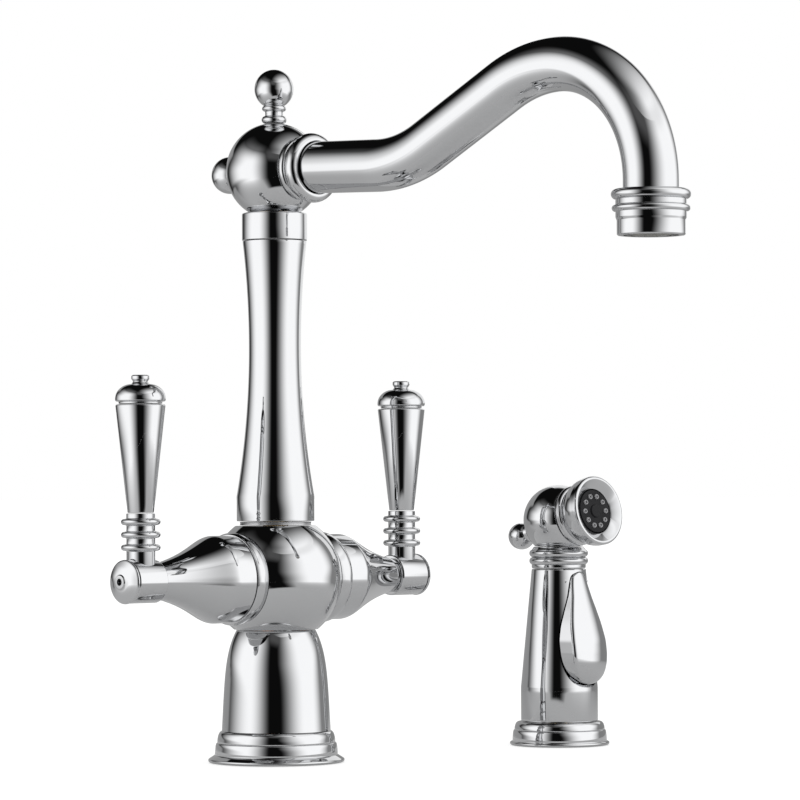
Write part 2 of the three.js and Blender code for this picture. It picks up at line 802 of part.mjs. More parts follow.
function rearFinial() {
  const foot = clearance;
  const knobStart = -THREE.MathUtils.radToDeg(Math.acos(spoutBallRearFlatRadius / rearKnobRadius));
  return lathe([
    [0, foot - finialPinLength],
    [finialPinRadius, foot - finialPinLength],
    [finialPinRadius, foot],
    [spoutBallRearFlatRadius - edgeBreak, foot],
    ...arc(0, rearKnobHeight, rearKnobRadius, knobStart, 90, 7),
  ], smallSides);
}

// Ring around the tube, in front of the ball: a small fillet bead, then a full bead.
function spoutRing() {
  const start = spoutBallFront + clearance;
  const end = start + spoutRingLength;
  const inner = spoutTubeRadius + spoutRingBoreGap;
  return ring([
    [inner, start],
    [spoutBallFrontFlatRadius - edgeBreak, start],
    ...bead(spoutFilletRadius, start + spoutFilletSection + edgeBreak, spoutFilletSection, 2),
    ...bead(spoutBeadRadius, end - spoutBeadSection, spoutBeadSection, 4),
    [inner, end],
  ], largeSides);
}

// Centre line of the spout: level through the ring, a run that falls slightly, a bend up, a
// climb, a bend over the crest, a hook down to the outlet and a short leg. It is built by
// turning and stepping on.
class SpoutPath extends THREE.Curve {
  constructor() {
    super();
    this.stretches = [];
    let at = new THREE.Vector2(spoutBallFront - spoutSocketDepth, 0);
    let heading = 0;
    const steps = [
      { length: spoutSocketDepth + clearance + spoutRingLength, stations: 1 },
      { radius: spoutDipRadius, turn: -spoutDrop, stations: 1 },
      { length: spoutRunLength, stations: 1 },
      { radius: riseBendRadius, turn: spoutDrop + spoutRise, stations: 4 },
      { length: riseLength, stations: 1 },
      { radius: crestBendRadius, turn: -spoutRise, stations: 3 },
      { radius: hookBendRadius, turn: -90, stations: 9 },
      { length: hookLegLength, stations: 1 },
    ];
    for (const { length, radius, turn, stations } of steps) {
      const angle = THREE.MathUtils.degToRad(turn ?? 0);
      const reach = length ?? radius * Math.abs(angle);
      for (let i = 0; i < stations; i += 1) {
        this.stretches.push({ at, heading, angle: angle / stations, reach: reach / stations });
        at = this.place(this.stretches.at(-1), 1);
        heading += angle / stations;
      }
    }
  }

  // Point a share of the way along one stretch, which is straight or a circular arc.
  place({ at, heading, angle, reach }, share) {
    const turned = angle * share;
    const chord = turned === 0 ? reach * share : 2 * reach / angle * Math.sin(turned / 2);
    const direction = heading + turned / 2;
    return new THREE.Vector2(at.x + chord * Math.cos(direction), at.y + chord * Math.sin(direction));
  }

  getPoint(t) {
    const along = t * this.stretches.length;
    const index = Math.min(Math.floor(along), this.stretches.length - 1);
    const { x, y } = this.place(this.stretches[index], along - index);
    return new THREE.Vector3(0, -x, y);
  }
}

const spoutPath = new SpoutPath();
const spoutEnd = spoutPath.getPoint(1);

function spoutTube() {
  const outline = roundOutline(spoutTubeRadius, largeSides);
  outline.holes.push(roundOutline(spoutTubeRadius - spoutTubeWall, tinySides));
  return sweep(outline, spoutPath, spoutPath.stretches.length);
}

// ---- Outlet, about its own axis, with height 0 at the tube's end ----

const outletBead = outletBeadHeight;
const outletSecondBead = outletBead - outletBeadSpacing;
const outletFoot = outletSecondBead - outletNoseHeight;
const aeratorHoleRadius = aeratorRadius + clearance;

function outletCollar() {
  const bore = spoutTubeRadius + clearance;
  const noseTop = outletFoot + outletNoseHeight * outletNoseShare;
  const bandFoot = outletFoot + outletNoseHeight * outletBandShare;
  return ring([
    [aeratorHoleRadius, outletFoot],
    [outletNoseRadius - edgeBreak, outletFoot],
    [outletNoseRadius, outletFoot + edgeBreak],
    [outletNoseRadius, noseTop],
    [outletBandRadius, bandFoot],
    ...bead(outletSecondBeadRadius, outletSecondBead, outletSecondBeadSection, 3),
    ...bead(outletBeadRadius, outletBead, outletBeadSection, 4),
    [bore, outletBead + outletBeadSection],
    [bore, -clearance],
    [aeratorHoleRadius, -clearance],
  ], largeSides);
}

function aerator() {
  const foot = outletFoot + aeratorRecess;
  const screenRadius = aeratorRadius - aeratorRimWidth;
  return lathe([
    [0, foot + aeratorScreenRecess],
    [screenRadius, foot + aeratorScreenRecess],
    [screenRadius, foot],
    [aeratorRadius, foot],
    [aeratorRadius, -2 * clearance],
    [0, -2 * clearance],
  ], largeSides);
}

// ---- Handles, about the axis along X and with height 0 on it ----

function spindle() {
  const start = cartridgeEnd - spindleOverlap;
  const end = hubStart + hubBoreLength - clearance;
  const holeStart = hubEnd - hubScrewHeadLength - hubScrewLength - 2 * clearance;
  return lathe([
    [0, start],
    [spindleRadius, start],
    [spindleRadius, end],
    [hubScrewRadius + clearance, end],
    [hubScrewRadius + clearance, holeStart],
    [0, holeStart],
  ], smallSides);
}

function hub() {
  const headHoleStart = hubEnd - hubScrewHeadLength - clearance;
  const screwHole = hubScrewRadius + clearance;
  const headHole = hubScrewHeadRadius + clearance;
  const body = outward(ring([
    [spindleHoleRadius, hubStart],
    [hubRadius - edgeBreak, hubStart],
    [hubRadius, hubStart + edgeBreak],
    [hubRadius, hubEnd - edgeBreak],
    [hubRadius - edgeBreak, hubEnd],
    [headHole, hubEnd],
    [headHole, headHoleStart],
    [screwHole, headHoleStart],
    [screwHole, hubStart + hubBoreLength],
    [spindleHoleRadius, hubStart + hubBoreLength],
  ], mediumSides));
  const socket = rod(leverPinRadius + clearance, leverSocketHeight - clearance, hubRadius + 1, tinySides);
  return cut(body, socket.translate(leverReach, 0, 0));
}

// Domed cap with a raised button and a hole through its middle.
function hubCap() {
  const start = hubEnd + clearance;
  const end = start + hubCapLength;
  const dome = hubCapDome.map(([out, along]) => [hubRadius * out, start + hubCapLength * along]);
  return ring([
    [hubCapHoleRadius, start],
    [hubRadius - edgeBreak, start],
    ...dome,
    [hubCapButtonRadius, dome.at(-1)[1]],
    [hubCapButtonRadius, end - edgeBreak],
    [hubCapButtonRadius - edgeBreak, end],
    [hubCapHoleRadius, end],
  ], mediumSides);
}

function hubScrew() {
  const headEnd = hubEnd - clearance;
  const headStart = headEnd - hubScrewHeadLength;
  const driveRadius = hubScrewHeadRadius / 2;
  return lathe([
    [0, headStart - hubScrewLength + clearance],
    [hubScrewRadius, headStart - hubScrewLength + clearance],
    [hubScrewRadius, headStart + clearance],
    [hubScrewHeadRadius, headStart + clearance],
    [hubScrewHeadRadius, headEnd],
    [driveRadius, headEnd],
    [driveRadius, headEnd - hubScrewHeadLength / 2],
    [0, headEnd - hubScrewHeadLength / 2],
  ], tinySides);
}

// Stem scribed to the round hub, with three rings and a collar, pinned at both ends.
function leverStem() {
  const rings = [0, 1, 2].flatMap((index) => {
    const height = leverFirstRing + index * leverRingSpacing;
    return [
      [leverStemRadius, height - leverRingSection - leverRingFillet],
      ...bead(leverRingRadius, height, leverRingSection, 3),
      [leverStemRadius, height + leverRingSection + leverRingFillet],
    ];
  });
  const stem = lathe([
    [0, 0],
    [leverStemRadius, 0],
    ...rings,
    [leverStemRadius, leverStemTop],
    [leverPinRadius, leverStemTop],
    [leverPinRadius, leverStemTop + leverPinLength],
    [0, leverStemTop + leverPinLength],
  ], smallSides);
  const seat = outward(rod(hubRadius + clearance, -hubLength, hubLength, mediumSides));
  const pin = rod(leverPinRadius, leverSocketHeight, leverFirstRing, tinySides);
  return join(cut(stem, seat), pin);
}

function leverGrip() {
  const hole = leverPinRadius + clearance;
  const holeDepth = leverPinLength + clearance;
  return lathe([
    [0, gripFoot + holeDepth],
    [hole, gripFoot + holeDepth],
    [hole, gripFoot],
    [gripFootRadius, gripFoot],
    [gripTopRadius, gripTop - edgeBreak],
    [gripTopRadius - edgeBreak, gripTop],
    [hole, gripTop],
    [hole, gripTop - holeDepth],
    [0, gripTop - holeDepth],
  ], smallSides);
}

// Grooved band, dome and small turned button.
function leverCap() {
  const bandFoot = leverCapFoot + capGrooveHeight;
  const domeFoot = bandFoot + capBandHeight;
  const domeTop = domeFoot + capDomeHeight;
  const discFoot = domeTop + capNeckHeight;
  return lathe([
    [0, leverCapFoot - leverPinLength],
    [leverPinRadius, leverCapFoot - leverPinLength],
    [leverPinRadius, leverCapFoot],
    [capGrooveRadius, leverCapFoot],
    [capGrooveRadius, bandFoot],
    [capRadius - edgeBreak, bandFoot],
    ...ovolo(capRadius, domeFoot - capBandHeight / 2, capFlareRadius, domeTop, 5),
    [capNeckRadius, domeTop + capNeckHeight / 2],
    [capDiscRadius, discFoot],
    [capDiscRadius, discFoot + capDiscHeight - edgeBreak],
    [capDiscRadius - edgeBreak, discFoot + capDiscHeight],
    [0, discFoot + capDiscHeight],
  ], smallSides);
}

// ---- Side spray, about its own upright axis ----

const sprayGasketOuterRadius = sprayLipRadius - gasketRim;

function sprayFlange() {
  const crease = sprayLipHeight + sprayOvoloHeight;
  const mouldings = [
    ovolo(sprayOvoloRadius, sprayLipHeight, sprayOvoloTopRadius, crease, 2),
    ovolo(sprayCoveRadius, crease, sprayTopRadius, sprayTop, 2),
  ];
  return deckFlange(sprayLipRadius, sprayLipHeight, mouldings, sprayHoleRadius,
    sprayGasketOuterRadius + clearance);
}

const sprayGasket = () => sleeve(sprayGasketOuterRadius - sprayGasketWidth, sprayGasketOuterRadius,
  0, gasketThickness, largeSides);

const guideOuterRadius = sprayHoleRadius - clearance;
const guideInnerRadius = guideOuterRadius - sprayGuideWall;
const sprayGuide = () => sleeve(guideInnerRadius, guideOuterRadius, 0, sprayTop, mediumSides);

function wandRadius(height) {
  const share = Math.max(0, (height - wandCrease) / wandConeHeight);
  return wandFootRadius + (wandTopRadius - wandFootRadius) * share;
}

// Sections of the trigger from its foot to its tip: share of the length, share of the half
// width and share of the rise over the wand's cone.
const triggerSections = [
  [0.00, 0.14, 0.15],
  [0.03, 0.40, 0.36],
  [0.09, 0.73, 0.54],
  [0.21, 0.96, 0.77],
  [0.36, 1.00, 1.00],
  [0.50, 0.93, 0.89],
  [0.65, 0.76, 0.67],
  [0.79, 0.58, 0.44],
  [0.92, 0.47, 0.23],
  [0.98, 0.37, 0.15],
  [1.00, 0.20, 0.10],
];

// Joins level sections, each a loop of points, into one closed body.
function loft(sections) {
  const count = sections[0].length;
  const positions = sections.flat().flatMap((point) => [point.x, point.y, point.z]);
  const corners = [];
  for (let row = 0; row < sections.length - 1; row += 1) {
    for (let i = 0; i < count; i += 1) {
      const a = row * count + i;
      const b = row * count + (i + 1) % count;
      corners.push(a, b, b + count, a, b + count, a + count);
    }
  }
  const top = (sections.length - 1) * count;
  for (let i = 1; i < count - 1; i += 1) {
    corners.push(0, i + 1, i);
    corners.push(top, top + i, top + i + 1);
  }
  const geometry = new THREE.BufferGeometry();
  geometry.setAttribute('position', new THREE.Float32BufferAttribute(positions, 3));
  geometry.setIndex(corners);
  return geometry;
}

// The trigger's body between its back faces and its crowned face. The slot in the wand is
// the same form, wider, longer and open to the front.
function triggerForm(gap, footGap, backInset, reachExtra) {
  const sections = triggerSections.map(([share, width, rise]) => {
    const stretch = -footGap * Math.max(0, 1 - share / triggerFootShare);
    const tip = share === 1 ? gap : 0;
    const height = triggerFoot + triggerLength * share + stretch + tip;
    const half = triggerHalfWidth * width + gap;
    const reach = wandRadius(triggerFoot + triggerLength * share) + triggerRise * rise + reachExtra;
    const crown = triggerCrown * half;
    const back = (share > triggerKnuckleShare ? triggerKnuckleBack : triggerBack) - backInset;
    const points = [new THREE.Vector3(half, -back, height), new THREE.Vector3(-half, -back, height)];
    const facets = 6;
    for (let i = 0; i <= facets; i += 1) {
      const across = -1 + 2 * i / facets;
      const depth = reach - crown * across ** 2;
      points.push(new THREE.Vector3(half * across, -depth, height));
    }
    return points;
  });
  return loft(sections);
}

function wandBody() {
  const body = ring([
    [wandBoreRadius, wandFoot],
    [wandFootRadius - edgeBreak, wandFoot],
    [wandFootRadius, wandFoot + edgeBreak],
    [wandFootRadius, wandCrease],
    [wandTopRadius, wandTop],
    [wandWaterwayRadius, wandTop],
    [wandWaterwayRadius, wandFoot + wandBoreHeight],
    [wandBoreRadius, wandFoot + wandBoreHeight],
  ], largeSides);
  const slot = triggerForm(triggerSlotGap, triggerFootGap, triggerSlotDepth, wandFootRadius);
  const holeRadius = pivotPinRadius + clearance;
  const holeReach = pivotPinLength / 2 + clearance;
  const pinHole = outward(rod(holeRadius, -holeReach, holeReach, tinySides));
  return cut(body, slot, pinHole.translate(0, -pivotReach, pivotHeight));
}

function trigger() {
  const hole = outward(rod(pivotPinRadius + clearance, -triggerHalfWidth, triggerHalfWidth, tinySides));
  return cut(triggerForm(0, 0, 0, 0), hole.translate(0, -pivotReach, pivotHeight));
}

const triggerPin = () => outward(rod(pivotPinRadius, -pivotPinLength / 2, pivotPinLength / 2, tinySides));

// Round block in the wand's bore, with a chamber for the plunger's spring.
function valveBlock() {
  const radius = wandBoreRadius - clearance;
  const foot = plungerHeight - valveBlockHeight / 2;
  const block = rod(radius, foot, foot + valveBlockHeight, mediumSides);
  const chamber = forward(rod(springChamberRadius, radius - springChamberDepth, radius + 1, smallSides));
  const stemEnd = plungerStemLength - triggerBack;
  const stemHole = forward(rod(plungerStemRadius + clearance, -stemEnd - triggerSlotDepth, radius,
    tinySides));
  const waterway = rod(waterwayRadius, foot - 1, foot + valveBlockHeight + 1, tinySides);
  return cut(block, chamber.translate(0, 0, plungerHeight), stemHole.translate(0, 0, plungerHeight),
    waterway.translate(0, radius / 2, 0));
}

function plunger() {
  const face = triggerBack - clearance;
  return lathe([
    [0, face - plungerStemLength],
    [plungerStemRadius, face - plungerStemLength],
    [plungerStemRadius, face - plungerHeadLength],
    [plungerHeadRadius, face - plungerHeadLength],
    [plungerHeadRadius, face],
    [0, face],
  ], tinySides);
}

class SpringPath extends THREE.Curve {
  getPoint(t) {
    const angle = 2 * Math.PI * springTurns * t;
    const bottom = wandBoreRadius - clearance - springChamberDepth + clearance + springWireRadius;
    const top = triggerBack - 2 * clearance - plungerHeadLength - springWireRadius;
    return new THREE.Vector3(springRadius * Math.cos(angle), springRadius * Math.sin(angle),
      bottom + (top - bottom) * t);
  }
}

function valveSpring() {
  const stepsPerTurn = 8;
  return sweep(roundOutline(springWireRadius, 5), new SpringPath(), springTurns * stepsPerTurn);
}

// Threaded tail that the hose screws onto, below the wand.
function hoseCoupling() {
  const radius = wandBoreRadius - clearance;
  const shoulder = wandFoot + clearance;
  const foot = shoulder + couplingHeadHeight - couplingLength;
  return ring([
    [waterwayRadius, foot],
    [couplingRadius, foot],
    [couplingRadius, shoulder],
    [radius, shoulder],
    [radius, shoulder + couplingHeadHeight],
    [waterwayRadius, shoulder + couplingHeadHeight],
  ], mediumSides);
}

// Two beads and a small cove that carries the ball.
function wandNeckRing() {
  const lower = neckFoot + neckFootHeight;
  const upper = lower + neckBeadSpacing;
  return ring([
    [wandWaterwayRadius, neckFoot],
    [wandTopRadius - edgeBreak, neckFoot],
    [wandTopRadius, lower - neckBeadSection],
    ...bead(neckBeadRadius, lower, neckBeadSection, 4).slice(1, -1),
    ...bead(neckBeadRadius, upper, neckBeadSection, 4).slice(1, -1),
    [neckTopRadius, neckTop - edgeBreak],
    [neckTopRadius - edgeBreak, neckTop],
    [wandWaterwayRadius, neckTop],
  ], largeSides);
}

// Directions of the head and of the rear knob, as turns about X.
const headTurn = THREE.MathUtils.degToRad(90 - headTilt);
const knobTurn = -THREE.MathUtils.degToRad(90 + wandKnobTilt);

function wandBall() {
  const ball = lathe(ballProfile(wandBallRadius, wandBallFootFlatRadius, 0, 7), largeSides);
  const outside = wandBallRadius + 1;
  const pinHole = finialPinRadius + clearance;
  return cut(
    ball,
    rod(wandWaterwayRadius, -outside, 0, smallSides),
    rod(wandBallRadius, wandBallFront, outside, largeSides).rotateX(headTurn),
    rod(wandWaterwayRadius, 0, outside, smallSides).rotateX(headTurn),
    rod(wandKnobRadius, wandBallRear, outside, smallSides).rotateX(knobTurn),
    rod(pinHole, wandBallRear - finialPinLength - clearance, outside, tinySides).rotateX(knobTurn),
  );
}

function wandKnob() {
  const foot = wandBallRear + clearance;
  const knobStart = -THREE.MathUtils.radToDeg(Math.acos(wandBallRearFlatRadius / wandKnobRadius));
  return lathe([
    [0, foot - finialPinLength],
    [finialPinRadius, foot - finialPinLength],
    [finialPinRadius, foot],
    [wandBallRearFlatRadius - edgeBreak, foot],
    ...arc(0, wandBallRear + wandKnobHeight, wandKnobRadius, knobStart, 90, 6),
  ], smallSides);
}

// Bead and bell in one, with a dished bezel around the face and a water chamber behind it.
function sprayBell() {
  const rimRadius = bellRadius - bellRimWidth;
  const faceHole = faceRadius + clearance;
  const faceBack = bellEnd - bezelDepth - faceThickness - clearance;
  return ring([
    [wandWaterwayRadius, headStart],
    [wandBallFrontFlatRadius - edgeBreak, headStart],
    ...bead(headBeadRadius, headStart + headBeadLength / 2, headBeadSection, 3),
    [bellRootRadius, bellStart],
    ...ovolo(bellRadius, bellEnd - bellRimWidth, bellRootRadius, bellStart, 3).reverse().slice(1),
    [rimRadius, bellEnd],
    ...ovolo(rimRadius - edgeBreak, bellEnd, faceHole, bellEnd - bezelDepth, 2),
    [faceHole, faceBack],
    [bellChamberRadius, faceBack],
    [bellChamberRadius, bellStart + bellFloorThickness],
    [wandWaterwayRadius, bellStart + bellFloorThickness],
  ], largeSides);
}

// Rubber face with a ring of nozzles and a boss in the middle.
function sprayFace() {
  const back = bellEnd - bezelDepth - faceThickness;
  const front = back + faceThickness;
  const disc = lathe([
    [0, back],
    [faceRadius, back],
    [faceRadius, front],
    [faceBossRadius + faceBossSlope, front],
    [faceBossRadius, front + nozzleHeight],
    [0, front + nozzleHeight],
  ], largeSides);
  const nozzles = [];
  for (let i = 0; i < nozzleCount; i += 1) {
    const angle = 2 * Math.PI * i / nozzleCount;
    const nozzle = rod(nozzleRadius, front - 1, front + nozzleHeight, 6);
    nozzles.push(nozzle.translate(nozzleCircleRadius * Math.cos(angle),
      nozzleCircleRadius * Math.sin(angle), 0));
  }
  return join(disc, ...nozzles);
}

// ---- Assembly ----

function place(parent, name, geometry, finish, position = [0, 0, 0], turn = [0, 0, 0]) {
  const mesh = new THREE.Mesh(geometry, finish.clone());
  mesh.name = name;
  mesh.position.set(...position);
  mesh.rotation.set(...turn);
  parent.add(mesh);
}

const faucet = new THREE.Group();
const quarter = Math.PI / 2;

place(faucet, 'base_gasket', baseGasket(), rubber);
place(faucet, 'base_flange', baseFlange(), chrome);
place(faucet, 'pedestal', pedestal(), chrome);
place(faucet, 'mounting_stud', mountingStud(), steel);
for (const [name, angle] of Object.entries(tubeAngles)) {
  place(faucet, name, supplyTube(), copper, [...tubePlace(angle), 0]);
}
place(faucet, 'valve_body', valveBody(), chrome);
place(faucet, 'column_seat_ring', seatRing(), steel);
place(faucet, 'column', column(), chrome);
place(faucet, 'diverter', diverter(), brass);

for (const [side, turn] of [['right', 0], ['left', Math.PI]]) {
  const flank = new THREE.Group();
  flank.position.z = handleAxisHeight;
  flank.rotation.z = turn;
  faucet.add(flank);
  const across = [0, quarter, 0];
  const lever = [leverReach, 0, 0];
  place(flank, `${side}_trim_ring`, trimRing(), chrome, [0, 0, 0], across);
  place(flank, `${side}_bonnet`, bonnet(), chrome, [0, 0, 0], across);
  place(flank, `${side}_cartridge`, cartridge(), brass, [0, 0, 0], across);
  place(flank, `${side}_bonnet_nut`, bonnetNut(), brass, [0, 0, 0], across);
  place(flank, `${side}_spindle`, spindle(), brass, [0, 0, 0], across);
  place(flank, `${side}_hub`, hub(), chrome);
  place(flank, `${side}_hub_cap`, hubCap(), chrome, [0, 0, 0], across);
  place(flank, `${side}_hub_screw`, hubScrew(), steel, [0, 0, 0], across);
  place(flank, `${side}_lever_stem`, leverStem(), chrome, lever);
  place(flank, `${side}_lever_grip`, leverGrip(), chrome, lever);
  place(flank, `${side}_lever_cap`, leverCap(), chrome, lever);
}

const spout = new THREE.Group();
faucet.add(spout);
const spoutMiddle = [0, 0, spoutAxisHeight];
place(spout, 'glide_ring', glideRing(), nylon);
place(spout, 'swivel_collar', swivelCollar(), chrome);
place(spout, 'spout_spigot', spoutSpigot(), brass);
place(spout, 'upper_o_ring', sealRing(upperSealHeight), rubber);
place(spout, 'lower_o_ring', sealRing(lowerSealHeight), rubber);
place(spout, 'spout_ball', spoutBall(), chrome);
place(spout, 'top_finial', topFinial(), chrome, [0, 0, spoutBallTop]);
place(spout, 'rear_finial', rearFinial(), chrome, [0, spoutBallRear, spoutAxisHeight], [-quarter, 0, 0]);
place(spout, 'spout_ring', spoutRing(), chrome, spoutMiddle, [quarter, 0, 0]);
place(spout, 'spout_tube', spoutTube(), chrome, spoutMiddle);
const outlet = [spoutEnd.x, spoutEnd.y, spoutAxisHeight + spoutEnd.z];
place(spout, 'outlet_collar', outletCollar(), chrome, outlet);
place(spout, 'aerator', aerator(), nylon, outlet);

const spray = new THREE.Group();
spray.position.set(sprayX, sprayY, 0);
faucet.add(spray);
place(spray, 'spray_gasket', sprayGasket(), rubber);
place(spray, 'spray_flange', sprayFlange(), chrome);
place(spray, 'spray_guide', sprayGuide(), nylon);
place(spray, 'hose_coupling', hoseCoupling(), brass);
place(spray, 'wand_body', wandBody(), chrome);
place(spray, 'trigger', trigger(), chrome);
place(spray, 'trigger_pin', triggerPin(), steel, [0, -pivotReach, pivotHeight]);
place(spray, 'valve_block', valveBlock(), nylon);
const plungerPlace = [0, 0, plungerHeight];
place(spray, 'valve_plunger', plunger(), steel, plungerPlace, [quarter, 0, 0]);
place(spray, 'valve_spring', valveSpring(), steel, plungerPlace, [quarter, 0, 0]);
place(spray, 'wand_neck_ring', wandNeckRing(), chrome);
const ballPlace = [0, 0, wandBallHeight];
place(spray, 'wand_ball', wandBall(), chrome, ballPlace);
place(spray, 'wand_knob', wandKnob(), chrome, ballPlace, [knobTurn, 0, 0]);
place(spray, 'spray_bell', sprayBell(), chrome, ballPlace, [headTurn, 0, 0]);
place(spray, 'spray_face', sprayFace(), rubber, ballPlace, [headTurn, 0, 0]);

export default faucet;
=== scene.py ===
import json
import math

import bpy
import numpy as np
from mathutils import Matrix, Vector


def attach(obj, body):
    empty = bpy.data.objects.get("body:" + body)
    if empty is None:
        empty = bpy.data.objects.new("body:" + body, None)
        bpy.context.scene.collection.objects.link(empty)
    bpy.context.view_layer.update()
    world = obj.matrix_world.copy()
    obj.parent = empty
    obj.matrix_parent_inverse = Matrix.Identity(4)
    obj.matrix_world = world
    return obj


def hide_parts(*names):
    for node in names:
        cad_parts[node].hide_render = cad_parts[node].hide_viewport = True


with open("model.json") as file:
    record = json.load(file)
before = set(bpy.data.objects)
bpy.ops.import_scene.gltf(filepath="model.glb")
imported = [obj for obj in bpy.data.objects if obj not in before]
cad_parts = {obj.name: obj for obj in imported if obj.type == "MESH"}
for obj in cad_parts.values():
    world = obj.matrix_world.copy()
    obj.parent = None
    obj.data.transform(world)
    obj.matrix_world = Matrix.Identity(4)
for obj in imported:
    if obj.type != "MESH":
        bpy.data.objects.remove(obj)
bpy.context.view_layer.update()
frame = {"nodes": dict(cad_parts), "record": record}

# Sizes are in millimetres here and turned into metres when a mesh is made. They follow the
# CAD model's sizes, with round forms in place of its facets. Some forms are a little finer
# than the solids.
MM = 0.001
GAP = 0.3               # between one piece and the next
EDGE = 0.35             # radius of small rounded edges
BEVEL = 0.5             # of the larger edges
TURNS = 144             # points round a turned piece
SMALL_TURNS = 96        # points round a small one
LARGE_TURNS = 192       # points round a ball or the column

# ---------------------------------------------------------------- materials

NOISE_SPAN = 0.3, 0.7   # the part of the noise that a finish drifts over
GRAIN = 12              # how many times finer the relief is than the drift
GRAIN_DEPTH = 0.0002    # metres


def principled(name, color, metallic, roughness):
    material = bpy.data.materials.new(name)
    material.use_nodes = True
    shader = material.node_tree.nodes["Principled BSDF"]
    shader.inputs["Base Color"].default_value = (*color, 1)
    shader.inputs["Metallic"].default_value = metallic
    shader.inputs["Roughness"].default_value = roughness
    return material, material.node_tree, shader


def noise(tree, scale, detail):
    coords = tree.nodes.new("ShaderNodeTexCoord")
    texture = tree.nodes.new("ShaderNodeTexNoise")
    texture.inputs["Scale"].default_value = scale
    texture.inputs["Detail"].default_value = detail
    tree.links.new(coords.outputs["Object"], texture.inputs["Vector"])
    return texture.outputs["Fac"]


def ranged(tree, source, low, high):
    """The noise's span, spread out between two values."""
    remap = tree.nodes.new("ShaderNodeMapRange")
    remap.inputs["From Min"].default_value = NOISE_SPAN[0]
    remap.inputs["From Max"].default_value = NOISE_SPAN[1]
    remap.inputs["To Min"].default_value = low
    remap.inputs["To Max"].default_value = high
    tree.links.new(source, remap.inputs["Value"])
    return remap.outputs["Result"]


def varied(name, color, metallic, low, high, scale, shade=0.12, bump=0.0):
    """A finish whose roughness, and a little of its colour, drifts over the surface."""
    material, tree, shader = principled(name, color, metallic, low)
    drift = noise(tree, scale, 4)
    tree.links.new(ranged(tree, drift, low, high), shader.inputs["Roughness"])
    ramp = tree.nodes.new("ShaderNodeValToRGB")
    darker = [channel * (1 - shade) for channel in color]
    for element, position, shown in zip(ramp.color_ramp.elements, NOISE_SPAN, (darker, color)):
        element.position = position
        element.color = (*shown, 1)
    tree.links.new(drift, ramp.inputs["Fac"])
    tree.links.new(ramp.outputs["Color"], shader.inputs["Base Color"])
    if bump:
        relief = tree.nodes.new("ShaderNodeBump")
        relief.inputs["Strength"].default_value = bump
        relief.inputs["Distance"].default_value = GRAIN_DEPTH
        tree.links.new(noise(tree, scale * GRAIN, 2), relief.inputs["Height"])
        tree.links.new(relief.outputs["Normal"], shader.inputs["Normal"])
    return material


CHROME = varied("polished_chrome", (0.66, 0.665, 0.675), 1, 0.012, 0.035, 22, shade=0.015)
BRASS = varied("turned_brass", (0.72, 0.53, 0.26), 1, 0.22, 0.38, 90, bump=0.15)
COPPER = varied("drawn_copper", (0.75, 0.42, 0.29), 1, 0.25, 0.42, 80, bump=0.15)
STEEL = varied("turned_steel", (0.58, 0.58, 0.59), 1, 0.16, 0.3, 120, bump=0.1)
RUBBER = varied("black_rubber", (0.012, 0.012, 0.014), 0, 0.42, 0.6, 160, bump=0.3)
RUBBER.node_tree.nodes["Principled BSDF"].inputs["Specular IOR Level"].default_value = 0.2
NOZZLE = varied("grey_rubber", (0.42, 0.42, 0.43), 0, 0.35, 0.5, 200, bump=0.2)
NYLON = varied("moulded_nylon", (0.78, 0.77, 0.73), 0, 0.35, 0.5, 70, bump=0.1)
SLOTS = {"polished_chrome": CHROME, "brass": BRASS, "copper": COPPER, "steel": STEEL,
         "rubber": RUBBER, "nylon": NYLON}

for row in frame["record"]["subparts"]:
    mesh = frame["nodes"][row["node"]].data
    mesh.materials.clear()
    mesh.materials.append(SLOTS[row["material_slot"]])

# ---------------------------------------------------------------- places

UP = Matrix.Identity(4)


def at(x, y, z, turn=UP):
    return Matrix.Translation((x, y, z)) @ turn


def toward(x, y, z):
    """Turns +Z of a piece onto a direction, the shortest way."""
    return Vector((0, 0, 1)).rotation_difference(Vector((x, y, z))).to_matrix().to_4x4()


def moved(verts, matrix):
    m = np.array(matrix)
    return verts @ m[:3, :3].T + m[:3, 3]


# ---------------------------------------------------------------- profiles

# A profile is a list of (radius, height), from the foot up along the outside of a piece.


def arc(radius, height, size, start, end, step=4):
    """Part of a circle of a size about a point of the profile, between two angles."""
    count = max(2, int(abs(end - start) / step))
    angles = np.radians(np.linspace(start, end, count + 1))
    return [(radius + size * math.cos(a), height + size * math.sin(a)) for a in angles]


def bead(outer, height, section, reach=88):
    return arc(outer - section, height, section, -reach, reach, 8)


def ovolo(foot, low, top, high, count=16):
    """A quarter round from a radius and height out at its foot to those at its top."""
    angles = np.linspace(0, math.pi / 2, count + 1)
    return [(top + (foot - top) * math.cos(a), low + (high - low) * math.sin(a)) for a in angles]


def flat(ball_radius, radius):
    """How far from a ball's middle a flat of a radius lies."""
    return math.sqrt(ball_radius ** 2 - radius ** 2)


def ball(radius, foot, top, step=3):
    """The ball's profile between two flats of these radii."""
    start = -math.degrees(math.acos(foot / radius))
    end = math.degrees(math.acos(top / radius))
    return arc(0, 0, radius, start, end, step)


def knob(radius, foot, height, step=4):
    """The profile of a ball at a height, from a neck of a radius to its closed top."""
    return arc(0, height, radius, -math.degrees(math.acos(foot / radius)), 90, step)


def bezier(pulls, count):
    """Points of a cubic curve after its first one."""
    points = []
    for k in range(1, count + 1):
        t = k / count
        shares = (1 - t) ** 3, 3 * t * (1 - t) ** 2, 3 * t ** 2 * (1 - t), t ** 3
        points.append(tuple(sum(share * pull[i] for share, pull in zip(shares, pulls))
                            for i in (0, 1)))
    return points


LEAST_CORNER = 28       # degrees: a flatter corner stays as it is
CORNER_STEPS = 4
SIDE_SHARE = 0.45       # the most that a rounded corner takes of a side
TINY = 1e-6


